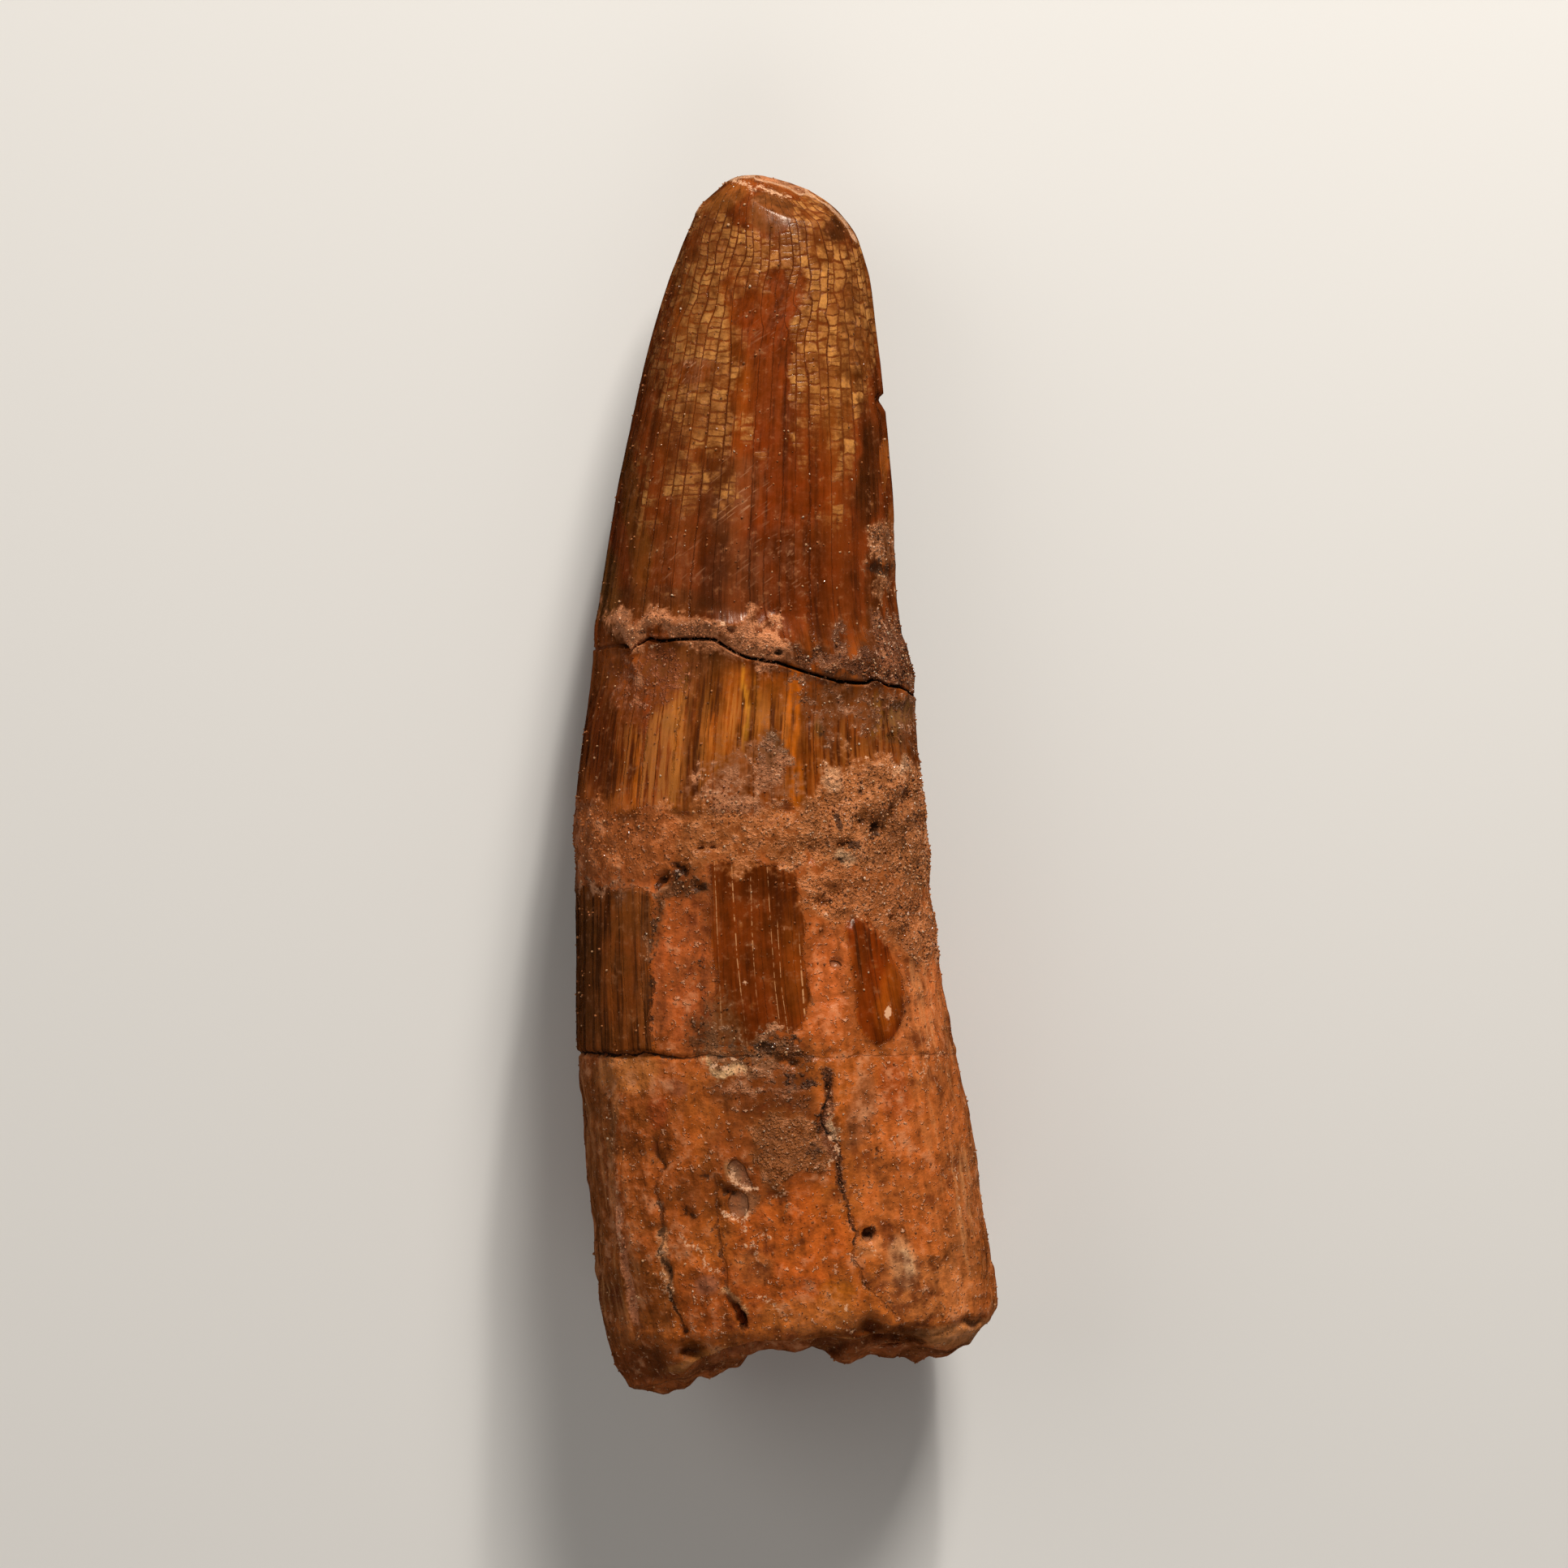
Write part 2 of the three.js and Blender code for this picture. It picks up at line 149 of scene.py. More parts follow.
# Long cracks that run up the root, each from the bottom.
LONG_CRACKS = [
    [
        (8.4, 5.5), (7.3, 6.5), (5.8, 7.8), (5.3, 9.1), (4.8, 10.0), (5.1, 11.0), (5.2, 11.7), (4.8, 12.4),
        (4.5, 13.6), (4.3, 14.5), (4.2, 15.6), (4.0, 16.6), (4.3, 17.3), (4.0, 18.1), (3.5, 19.0),
        (2.7, 19.9), (3.4, 21.6), (3.4, 22.7), (3.3, 24.1),
    ],
    [
        (-3.3, 4.4), (-3.3, 5.2), (-4.0, 6.1), (-4.4, 6.7), (-4.6, 8.0), (-4.6, 8.7), (-4.8, 10.1),
        (-5.0, 11.3), (-5.2, 12.3), (-5.2, 14.0), (-5.2, 16.4),
    ],
    [
        (-7.7, 4.4), (-7.9, 4.9), (-8.1, 5.7), (-8.7, 7.1), (-8.6, 8.5), (-9.1, 9.5), (-9.3, 10.4),
        (-9.4, 11.7), (-9.3, 13.0), (-9.7, 14.6), (-9.7, 15.4), (-8.9, 16.6), (-9.6, 17.5), (-9.8, 19.2),
    ],
]
# How dark each of them gets, and at what v it is faint and dark.
CRACK_DARKNESS = ((1.0, 7.0, 13.0), (0.8, 18.0, 8.0), (0.85, 20.0, 11.0))
SIDE_CRACK = [
    (-10.6, 2.8), (-11.2, 4.0), (-11.4, 5.6), (-11.8, 7.1), (-12.1, 9.5), (-12.3, 11.2), (-12.3, 12.1),
    (-12.4, 14.2),
]

# Panels of enamel that are left on the neck, each as a closed outline with its colour.
PANELS = [
    ("#682f0d", [
        (-5.7, 38.9), (-4.6, 39.2), (-3.8, 39.0), (-2.5, 39.2), (-1.3, 38.9), (-0.33, 39.1), (0.63, 38.8),
        (1.1, 37.7), (1.3, 36.2), (1.5, 34.4), (1.3, 32.9), (1.6, 30.8), (1.9, 28.7), (1.6, 27.8),
        (1.1, 26.9), (0.27, 26.5), (-0.75, 26.8), (-1.5, 25.9), (-2.5, 25.5), (-3.8, 25.3), (-4.8, 25.7),
        (-5.3, 27.1), (-5.2, 28.7), (-4.9, 30.8), (-5.4, 32.9), (-5.7, 35.0), (-5.5, 36.8),
    ]),
    ("#692a06", [
        (4.5, 34.1), (4.8, 32.0), (5.1, 29.9), (5.2, 28.4), (5.4, 27.1), (5.8, 26.2), (6.9, 25.4),
        (7.8, 25.7), (8.2, 26.3), (8.7, 27.8), (8.7, 29.3), (8.2, 31.4), (7.6, 33.2), (7.0, 34.3),
        (6.0, 35.0), (5.0, 34.9),
    ]),
    ("#6d3b1a", [
        (-16.6, 37.0), (-14.2, 37.4), (-12.4, 37.0), (-10.9, 37.3), (-10.0, 36.5), (-9.7, 34.4),
        (-10.0, 32.0), (-9.6, 29.6), (-9.9, 27.2), (-9.7, 25.0), (-16.6, 25.0),
    ]),
]
# Shades over the panels: colour, centre, half-sizes, strength, tilt in degrees if any.
PANEL_WASHES = [
    ("#5c3218", (-4.4, 27.1), (1.6, 1.6), 0.7), ("#763a10", (0.51, 31.7), (0.84, 3.8), 0.6),
    ("#4e2008", (-2.5, 37.7), (3.0, 1.4), 0.5), ("#6c2e0c", (-1.9, 28.4), (1.3, 2.0), 0.5),
    ("#8a440f", (7.6, 29.3), (0.84, 3.1), 0.7, -6), ("#552508", (5.3, 31.4), (0.6, 3.6), 0.7, -6),
    ("#4f2e16", (-14.7, 31.4), (1.1, 6.0), 0.8), ("#6a3716", (-11.2, 30.8), (0.6, 4.8), 0.6),
]

# ---- Colours of the ground, laid over each other: colour, centre, half-sizes, strength, tilt if any ----
GROUND_COLOUR = "#8c4a20"
IRON_STAIN = (1.0, 0.94, 0.82)  # what is left of red, green and blue by the iron in all of it
WASHES = [
    # crown: red-brown enamel, dull on the left flank, partly painted shade there, and dark low down
    ("#6a3010", (-2.2, 71.6), (19.8, 19.8), 1.0), ("#6a2d0b", (-1.3, 75.8), (2.8, 7.8), 0.9),
    ("#672b0b", (-1.1, 66.8), (4.2, 4.8), 0.9), ("#59260b", (-0.75, 60.2), (6.3, 3.6), 0.9),
    # the greyish washes at (-3.8, 66.1) and (-3.8, 59.9) are a painted sheen, the enamel's soft reflection
    ("#6c4230", (-3.8, 66.1), (2.0, 3.6), 0.35, -8), ("#64392a", (-3.8, 59.9), (2.6, 3.6), 0.4),
    ("#6e4634", (-6.5, 75.7), (1.6, 1.1), 0.5), ("#7a3c10", (-5.7, 75.8), (3.0, 9.0), 0.8, 6),
    ("#66300e", (-10.0, 66.8), (2.8, 11.4), 0.8, 12), ("#5f3e1a", (-11.2, 64.4), (0.84, 7.8), 0.4, 9),
    ("#5c3216", (-12.9, 58.7), (1.3, 3.6), 0.8, 8), ("#6b3a16", (5.1, 77.6), (1.4, 9.0), 0.6, -10),
    ("#6c4228", (-1.1, 87.1), (1.4, 1.9), 0.7), ("#7d4a26", (-4.3, 88.2), (2.0, 0.96), 0.8, 30),
    ("#4a2815", (4.0, 85.8), (1.1, 1.3), 0.85, -20), ("#43200b", (6.1, 67.4), (0.84, 4.0), 0.9, -3),
    ("#4b240d", (6.6, 58.4), (0.66, 5.4), 0.8, -2), ("#58260c", (4.5, 60.5), (1.6, 6.6), 0.6, -3),
    ("#9a5524", (7.3, 69.2), (0.36, 3.1), 0.9), ("#8a4a20", (7.8, 63.5), (0.36, 3.0), 0.9, -10),
    ("#562c14", (-9.2, 58.1), (4.0, 1.6), 0.7), ("#6e4a2a", (-13.3, 59.6), (1.3, 3.0), 0.5, 6),
    # between the fracture and the band of sand: flutes worn through to tan stripes, dark at the left,
    # partly as painted shade
    ("#74380f", (-2.2, 47.9), (15.6, 5.0), 1.0), ("#5a280a", (-13.3, 47.9), (1.3, 4.6), 0.9),
    ("#562608", (-11.2, 48.5), (0.84, 4.6), 0.8), ("#6a330f", (-9.3, 47.3), (0.36, 3.6), 0.6),
    ("#6e4226", (-7.0, 53.5), (3.6, 1.6), 0.7, -6), ("#6a3c22", (5.0, 51.1), (3.6, 1.3), 0.6, -4),
    ("#8c4c1a", (-3.8, 49.4), (4.8, 4.2), 0.7), ("#5e3014", (5.3, 49.1), (3.6, 3.6), 0.75),
    ("#73360f", (-10.0, 47.3), (1.0, 3.7), 0.75), ("#6c320f", (-6.9, 48.8), (0.42, 4.6), 0.6),
    ("#96581e", (-7.9, 47.0), (0.48, 4.4), 0.65), ("#a8642e", (-6.0, 47.9), (0.48, 4.0), 0.8),
    ("#b87a2c", (-3.1, 50.5), (0.21, 3.3), 0.9, 1), ("#98581c", (-2.2, 50.8), (0.3, 2.3), 0.8),
    ("#b05c0e", (0.57, 50.0), (0.54, 4.0), 0.95), ("#b05c0e", (0.81, 44.6), (0.48, 1.9), 0.8),
    ("#7a521c", (6.5, 49.9), (0.42, 1.8), 0.7), ("#2c1306", (7.0, 49.7), (0.18, 2.0), 0.8),
    ("#8a3a17", (-10.0, 50.0), (0.24, 1.4), 0.7), ("#a65a14", (-10.8, 45.8), (0.24, 3.1), 0.7),
    ("#3c2a12", (-7.6, 52.5), (0.3, 0.72), 0.7), ("#3c2a12", (-8.4, 49.4), (0.54, 0.72), 0.7),
    ("#3c2a12", (2.4, 48.8), (0.36, 0.72), 0.7), ("#845f46", (8.4, 49.9), (1.1, 1.2), 0.8),
    ("#3f2412", (7.9, 48.4), (0.72, 0.6), 0.9), ("#4a3528", (-1.1, 46.7), (0.9, 1.9), 0.7),
    ("#8e5236", (-3.3, 45.1), (0.78, 2.4), 0.8),
    # neck: orange dentine between the panels
    ("#9a5022", (-2.2, 32.0), (18.0, 7.3), 1.0), ("#9a4c20", (-7.5, 30.8), (2.2, 6.0), 0.8),
    ("#a85829", (3.1, 30.2), (1.4, 5.4), 0.8, -4), ("#c06c38", (10.3, 28.4), (2.0, 4.8), 0.8, -8),
    ("#6c4228", (4.8, 35.7), (1.4, 0.96), 0.8),
    # root: orange-brown, dark on the left and pale on the right, partly as painted shade and painted light
    ("#a0551f", (0.15, 12.8), (20.4, 12.9), 1.0), ("#7a4319", (-13.9, 14.0), (1.6, 11.4), 0.8, 4),
    ("#8a4618", (-10.0, 17.0), (3.6, 9.0), 0.7, 3), ("#a86a34", (-11.8, 23.3), (2.4, 1.6), 0.6),
    ("#98643a", (-12.9, 18.8), (0.42, 4.8), 0.5, 3), ("#a8521b", (0.27, 10.4), (4.3, 4.8), 0.85),
    ("#783c17", (-0.75, 18.2), (5.3, 4.2), 0.8, -4), ("#a85a28", (9.4, 17.0), (4.2, 9.6), 0.8, -6),
    ("#9c5a2e", (13.7, 13.4), (1.2, 9.0), 0.7, -8), ("#843a14", (8.1, 22.1), (1.2, 2.4), 0.6),
    ("#5a2c10", (-2.2, 22.3), (4.3, 1.8), 0.7, 6), ("#62300f", (-6.3, 14.6), (2.0, 2.0), 0.6),
    ("#6a4030", (-8.1, 22.3), (0.72, 0.72), 0.5), ("#8a3616", (-9.2, 20.5), (0.84, 1.3), 0.5),
    ("#c07a4a", (6.1, 10.3), (1.1, 0.96), 0.5), ("#b06a38", (-2.5, 9.2), (1.6, 1.4), 0.5),
    ("#6a2410", (7.1, 7.5), (0.72, 0.48), 0.6, 30), ("#a05c10", (3.8, 6.8), (1.4, 1.6), 0.5),
    ("#7a5038", (5.7, 20.6), (0.96, 3.0), 0.5, -10), ("#774017", (-11.5, 6.2), (3.0, 3.6), 0.7),
    ("#94481a", (-5.0, 6.8), (3.6, 3.0), 0.7), ("#a86029", (1.9, 5.6), (4.2, 1.6), 0.8),
    ("#7a5238", (-3.0, 14.0), (0.78, 0.96), 0.8), ("#9c7450", (-3.8, 16.3), (0.54, 0.96), 0.7, 20),
    ("#8c5a45", (-5.8, 8.0), (0.84, 0.84), 0.6), ("#6a3410", (-10.0, 1.7), (5.4, 1.4), 0.7),
    # the pale wash at (10.7, 7.5) is painted light
    ("#64320f", (7.9, 3.8), (7.2, 0.96), 0.6, -4), ("#c2743e", (10.7, 7.5), (4.2, 2.2), 0.55, -4),
    # the pale washes along the break's bottom rim, at (12.8, 3.9), (4.3, 2.6), (-6.3, 1.5) and (8.5, 2.5),
    # are partly painted highlight
    ("#9a5a2c", (-6.5, 2.5), (2.0, 1.1), 0.6, -20), ("#c08250", (12.8, 3.9), (3.4, 1.2), 0.7, 10),
    ("#b47a44", (4.3, 2.6), (3.8, 0.6), 0.7), ("#a8703c", (-6.3, 1.5), (2.8, 0.78), 0.6, 18),
    ("#b4784a", (8.5, 2.5), (3.6, 0.48), 0.6), ("#cf966a", (8.7, 9.2), (1.2, 2.0), 0.55, 14),
    ("#e8b88c", (8.9, 9.1), (0.48, 1.1), 0.7, 14),
]
# Dentine bared along the tip, as lines with their half-widths.
WORN_RIMS = [
    ([(-2.0, 89.8), (-1.1, 89.6), (0.45, 89.2), (1.2, 88.7)], 0.3),
    ([(1.2, 88.7), (1.9, 88.3), (3.3, 87.5), (4.3, 86.5), (5.1, 84.9)], 0.05),
    ([(-6.5, 87.1), (-6.0, 88.1), (-5.2, 88.9), (-4.3, 89.5), (-2.0, 89.8)], 0.05),
]
WORN_RIM_COLOUR = "#a8704e"

# ---- Crusts of desert sand: colour, closed outline, how fully they cover ----
SAND_COLOUR = "#8a5634"
SAND = [
    ("#a86a46", [
        (-12.9, 57.9), (-10.0, 57.3), (-7.0, 57.2), (-3.9, 56.9), (-2.8, 57.8), (-2.2, 57.8), (-1.9, 56.5),
        (-1.5, 56.5), (-1.3, 57.4), (-0.57, 57.4), (-0.09, 56.1), (0.87, 55.3), (2.2, 54.5), (3.9, 53.6),
        (5.7, 52.9), (6.9, 52.6), (7.1, 52.3), (5.2, 52.3), (2.5, 52.7), (-0.45, 53.8), (-2.9, 54.1),
        (-4.6, 55.0), (-7.9, 55.4), (-10.2, 55.6), (-11.7, 55.0), (-12.8, 55.9),
    ], 0.84),
    ("#60351d", [
        (0.87, 55.3), (2.2, 54.4), (3.8, 54.5), (4.2, 56.6), (4.7, 56.5), (5.1, 54.4), (6.0, 54.4),
        (6.4, 57.2), (7.3, 57.7), (8.7, 57.4), (10.9, 54.8), (11.5, 50.0), (9.6, 51.2), (8.5, 51.8),
        (7.0, 52.3), (6.1, 52.1), (4.3, 52.3), (2.5, 52.6), (1.1, 53.3),
    ], 0.9),
    ("#8a5634", [
        (6.4, 63.8), (7.0, 64.4), (7.8, 63.9), (8.3, 62.5), (8.2, 61.1), (7.3, 60.8), (6.8, 61.6),
    ], 0.75),
    ("#8a5634", [(7.0, 60.4), (7.8, 60.5), (8.1, 59.5), (7.5, 58.9), (7.0, 59.2)], 0.75),
    ("#704026", [(6.6, 56.5), (7.5, 57.1), (8.3, 56.1), (8.3, 54.4), (7.2, 54.1), (6.5, 54.9)], 0.85),
    ("#94552a", [
        (-16.6, 42.5), (-13.8, 43.5), (-10.7, 42.9), (-8.4, 43.6), (-6.6, 42.5), (-5.2, 45.2), (-4.5, 47.0),
        (-3.7, 48.1), (-2.7, 46.1), (-1.3, 43.7), (1.1, 42.4), (2.2, 43.7), (4.3, 43.7), (11.5, 43.7),
        (11.5, 37.7), (9.2, 37.4), (7.0, 38.0), (5.5, 38.7), (3.9, 38.5), (2.4, 39.1), (0.63, 38.8),
        (-2.2, 39.2), (-5.4, 39.1), (-7.0, 38.3), (-9.3, 38.8), (-10.7, 38.1), (-13.7, 38.6), (-16.6, 38.2),
    ], 0.6),
    ("#95582e", [
        (2.2, 43.7), (2.6, 46.5), (3.8, 47.0), (4.7, 45.1), (6.1, 46.3), (7.8, 46.9), (11.5, 46.9),
        (11.5, 37.7), (9.2, 37.4), (7.0, 38.0), (5.5, 38.7), (3.9, 38.5), (2.4, 39.1), (0.63, 38.8),
        (-0.33, 39.8), (1.1, 42.4),
    ], 0.9),
    ("#98572c", [
        (2.3, 38.8), (5.5, 38.6), (9.2, 37.3), (10.9, 36.8), (11.8, 32.0), (9.6, 31.6), (8.3, 32.2),
        (7.5, 34.1), (6.3, 35.3), (4.7, 34.9), (4.0, 34.3), (2.1, 34.4), (1.6, 36.2), (1.1, 38.0),
    ], 0.72),
    ("#5e3418", [
        (-10.0, 37.0), (-9.0, 38.6), (-7.6, 38.8), (-5.7, 37.7), (-6.0, 36.5), (-7.8, 36.9), (-9.2, 35.8),
        (-9.7, 33.8), (-10.0, 30.8), (-10.5, 33.8),
    ], 0.8),
    ("#bd8660", [(2.8, 46.4), (3.3, 46.7), (3.9, 46.4), (3.8, 45.4), (3.1, 45.2), (2.7, 45.7)], 0.7),
    ("#bd8660", [(7.6, 46.3), (8.3, 46.4), (8.7, 45.9), (8.3, 45.4), (7.7, 45.5)], 0.7),
    ("#b98f6c", [(3.5, 39.4), (4.1, 39.8), (5.1, 39.1), (4.8, 38.6), (4.0, 38.8)], 0.9),
    ("#74492e", [
        (-6.0, 24.7), (-5.1, 25.3), (-2.2, 25.1), (-0.33, 25.7), (1.7, 25.3), (1.3, 24.5), (-1.1, 24.1),
        (-3.8, 23.7), (-5.5, 24.1),
    ], 0.85),
    ("#6e3c1e", [
        (-5.7, 23.7), (-2.9, 23.5), (0.03, 24.2), (2.2, 23.7), (3.0, 22.4), (2.2, 20.8), (3.1, 19.5),
        (1.7, 19.3), (-0.57, 20.5), (-2.2, 21.7), (-4.3, 21.4), (-5.8, 22.5),
    ], 0.5),
    ("#7c4620", [
        (-1.9, 19.9), (-1.2, 20.6), (1.1, 20.1), (2.5, 19.5), (3.5, 18.9), (3.8, 17.6), (3.0, 16.0),
        (1.6, 15.7), (0.51, 15.1), (-0.57, 13.7), (-1.6, 14.8), (-2.5, 15.8), (-2.2, 17.6), (-2.7, 18.8),
    ], 0.8),
    ("#733a1c", [
        (-13.5, 53.9), (-10.0, 55.3), (-7.9, 55.3), (-7.0, 54.1), (-7.4, 52.0), (-8.5, 49.7), (-9.9, 48.5),
        (-11.8, 49.5), (-13.0, 51.8),
    ], 0.52),
    ("#5c3e2a", [
        (-2.5, 48.1), (-1.4, 48.5), (-0.33, 47.9), (0.27, 46.7), (0.51, 45.4), (-0.21, 44.1), (-1.3, 43.9),
        (-2.1, 44.8), (-2.4, 46.1),
    ], 0.66),
    ("#904c20", [
        (-16.6, 42.9), (-13.7, 43.7), (-10.0, 43.0), (-7.9, 42.2), (-8.5, 39.2), (-10.7, 38.1),
        (-13.7, 38.6), (-16.6, 38.2),
    ], 0.6),
    ("#5a3014", [
        (-7.0, 27.3), (-5.0, 27.1), (-3.8, 26.1), (-1.6, 27.1), (0.45, 26.8), (2.3, 25.9), (1.9, 24.7),
        (-1.1, 24.7), (-4.0, 24.9), (-6.5, 24.8), (-7.5, 25.5),
    ], 0.72),
    ("#a8835e", [
        (-6.1, 24.7), (-5.0, 24.9), (-3.4, 24.7), (-2.7, 24.3), (-3.8, 23.7), (-5.0, 23.7), (-5.8, 24.1),
    ], 0.5),
    ("#6c4026", [
        (-1.1, 53.8), (2.5, 52.6), (5.5, 52.0), (10.9, 51.2), (10.9, 47.0), (8.2, 47.3), (7.3, 49.4),
        (5.5, 47.3), (4.6, 49.4), (3.1, 47.6), (1.9, 50.0), (0.51, 51.8),
    ], 0.5),
    ("#70452c", [
        (-16.6, 38.2), (-16.1, 36.3), (-13.7, 36.1), (-10.7, 36.5), (-9.8, 37.4), (-10.7, 38.1),
    ], 0.4),
    ("#8a5638", [
        (-7.6, 45.2), (-5.2, 47.0), (-2.2, 48.8), (-0.45, 47.0), (1.3, 45.2), (1.1, 42.8), (-6.5, 42.8),
    ], 0.34),
    ("#6b4226", [
        (-6.0, 29.3), (-4.2, 29.7), (-3.1, 28.4), (-2.1, 26.5), (-0.45, 25.9), (-1.1, 24.8), (-6.0, 24.8),
    ], 0.42),
    ("#c8a07c", [(3.2, 19.3), (3.9, 19.1), (4.0, 18.5), (3.5, 18.3)], 1.0),
]
SAND_LINES = [
    ("#b5714e", [(-12.3, 13.4), (-12.2, 10.4), (-11.7, 7.0), (-11.3, 5.0)], 0.3, 0.75),
    ("#a87048", [(-9.3, 11.9), (-9.1, 9.9), (-8.5, 7.4)], 0.35, 0.75),
    ("#b98055", [(-4.5, 7.4), (-3.7, 6.4), (-3.3, 5.7)], 0.4, 0.7),
    ("#6b3a1e", [(3.3, 23.7), (3.5, 20.5), (2.8, 19.6), (4.0, 17.3), (4.2, 14.6)], 0.32, 0.8),
]
# Soft ellipses of centre, half-sizes, strength and tilt if any. These are stains of manganese, and, where
# they sit on the hollows below, painted shade in holes and grooves.
STAINS_AND_HOLE_SHADE = [
    ((-1.8, 57.2), (0.78, 0.72), 0.3), ((-0.45, 54.6), (0.24, 0.24), 1.0), ((7.0, 60.8), (0.96, 0.54), 0.8),
    ((3.8, 41.9), (0.3, 0.66), 1.0), ((6.6, 41.5), (0.48, 0.72), 0.9), ((5.0, 40.3), (0.54, 0.36), 1.0),
    ((2.7, 48.5), (0.42, 0.6), 0.5), ((-8.5, 38.1), (1.2, 0.42), 0.6), ((-6.3, 37.3), (0.72, 0.54), 0.5),
    ((-4.0, 25.7), (1.1, 0.36), 0.55), ((-1.5, 25.5), (1.6, 0.42), 0.65),
    ((0.63, 26.0), (0.84, 0.48), 0.55), ((3.0, 40.3), (0.24, 0.36), 0.8), ((5.7, 42.2), (0.3, 0.24), 0.8),
    ((4.0, 39.1), (0.36, 0.24), 0.7), ((-9.4, 37.5), (0.84, 0.36), 0.9, 45),
    ((-7.9, 38.5), (0.84, 0.36), 0.9, -35), ((-6.7, 37.1), (0.72, 0.24), 0.7, -15),
    ((-2.1, 24.8), (3.6, 0.24), 0.5), ((-9.8, 30.8), (0.36, 5.7), 0.5), ((-6.0, 30.8), (0.3, 4.8), 0.4),
    ((-4.3, 14.8), (0.6, 0.54), 0.6), ((-6.1, 15.8), (0.6, 0.3), 0.7, -20),
    ((-7.2, 13.1), (0.3, 0.9), 0.75, 42), ((2.7, 19.7), (0.6, 0.72), 0.6), ((2.1, 17.9), (0.96, 0.72), 0.5),
    ((1.1, 23.0), (2.4, 0.84), 0.5, 8), ((6.9, 17.7), (0.18, 0.24), 0.8), ((6.3, 11.5), (0.48, 0.48), 1.0),
    ((6.9, 16.7), (0.42, 0.84), 0.35), ((3.9, 53.0), (2.4, 0.24), 0.4, -6),
    ((-10.7, 56.0), (0.84, 0.3), 0.5),
]
# Pale chips and single light grains, as soft ellipses.
PALE = [
    ((3.9, 48.1), (0.15, 0.15), 0.9), ((-4.5, 56.6), (0.24, 0.24), 1.0), ((-9.8, 55.0), (0.36, 0.15), 0.7),
    ((7.6, 27.9), (0.24, 0.48), 0.9, -8), ((-3.0, 30.4), (0.24, 0.18), 0.8),
    ((4.9, 22.1), (0.18, 0.12), 0.7), ((-3.8, 16.1), (0.18, 0.48), 0.4, 10),
    ((3.6, 18.8), (0.3, 0.24), 0.9), ((4.0, 18.1), (0.18, 0.36), 0.8), ((4.5, 6.1), (0.24, 0.21), 0.9),
    ((-9.2, 10.2), (0.24, 0.24), 0.8), ((-4.5, 7.1), (0.3, 0.18), 0.7),
    ((2.9, 46.3), (0.36, 0.15), 0.6, 20), ((4.8, 39.3), (0.42, 0.15), 0.6, -20),
    ((7.3, 45.6), (0.36, 0.12), 0.55), ((4.3, 41.2), (0.18, 0.12), 0.6), ((5.5, 36.9), (0.24, 0.18), 0.6),
    ((3.4, 37.5), (0.24, 0.12), 0.6), ((2.2, 35.6), (0.24, 0.18), 0.55),
    ((2.5, 42.5), (0.3, 0.12), 0.55, 30), ((5.9, 43.4), (0.24, 0.12), 0.55, -10),
    ((-5.2, 24.2), (0.48, 0.24), 0.85, 10), ((-4.3, 24.0), (0.42, 0.21), 0.85),
    ((-3.6, 24.6), (0.3, 0.18), 0.75, -20), ((-2.5, 24.1), (0.42, 0.12), 0.5),
    ((6.0, 46.7), (0.3, 0.12), 0.6), ((8.3, 46.1), (0.3, 0.18), 0.7), ((-12.3, 11.5), (0.15, 0.36), 0.8),
    ((-6.1, 39.8), (0.54, 0.12), 0.6), ((-2.9, 11.9), (0.18, 0.15), 0.7),
]
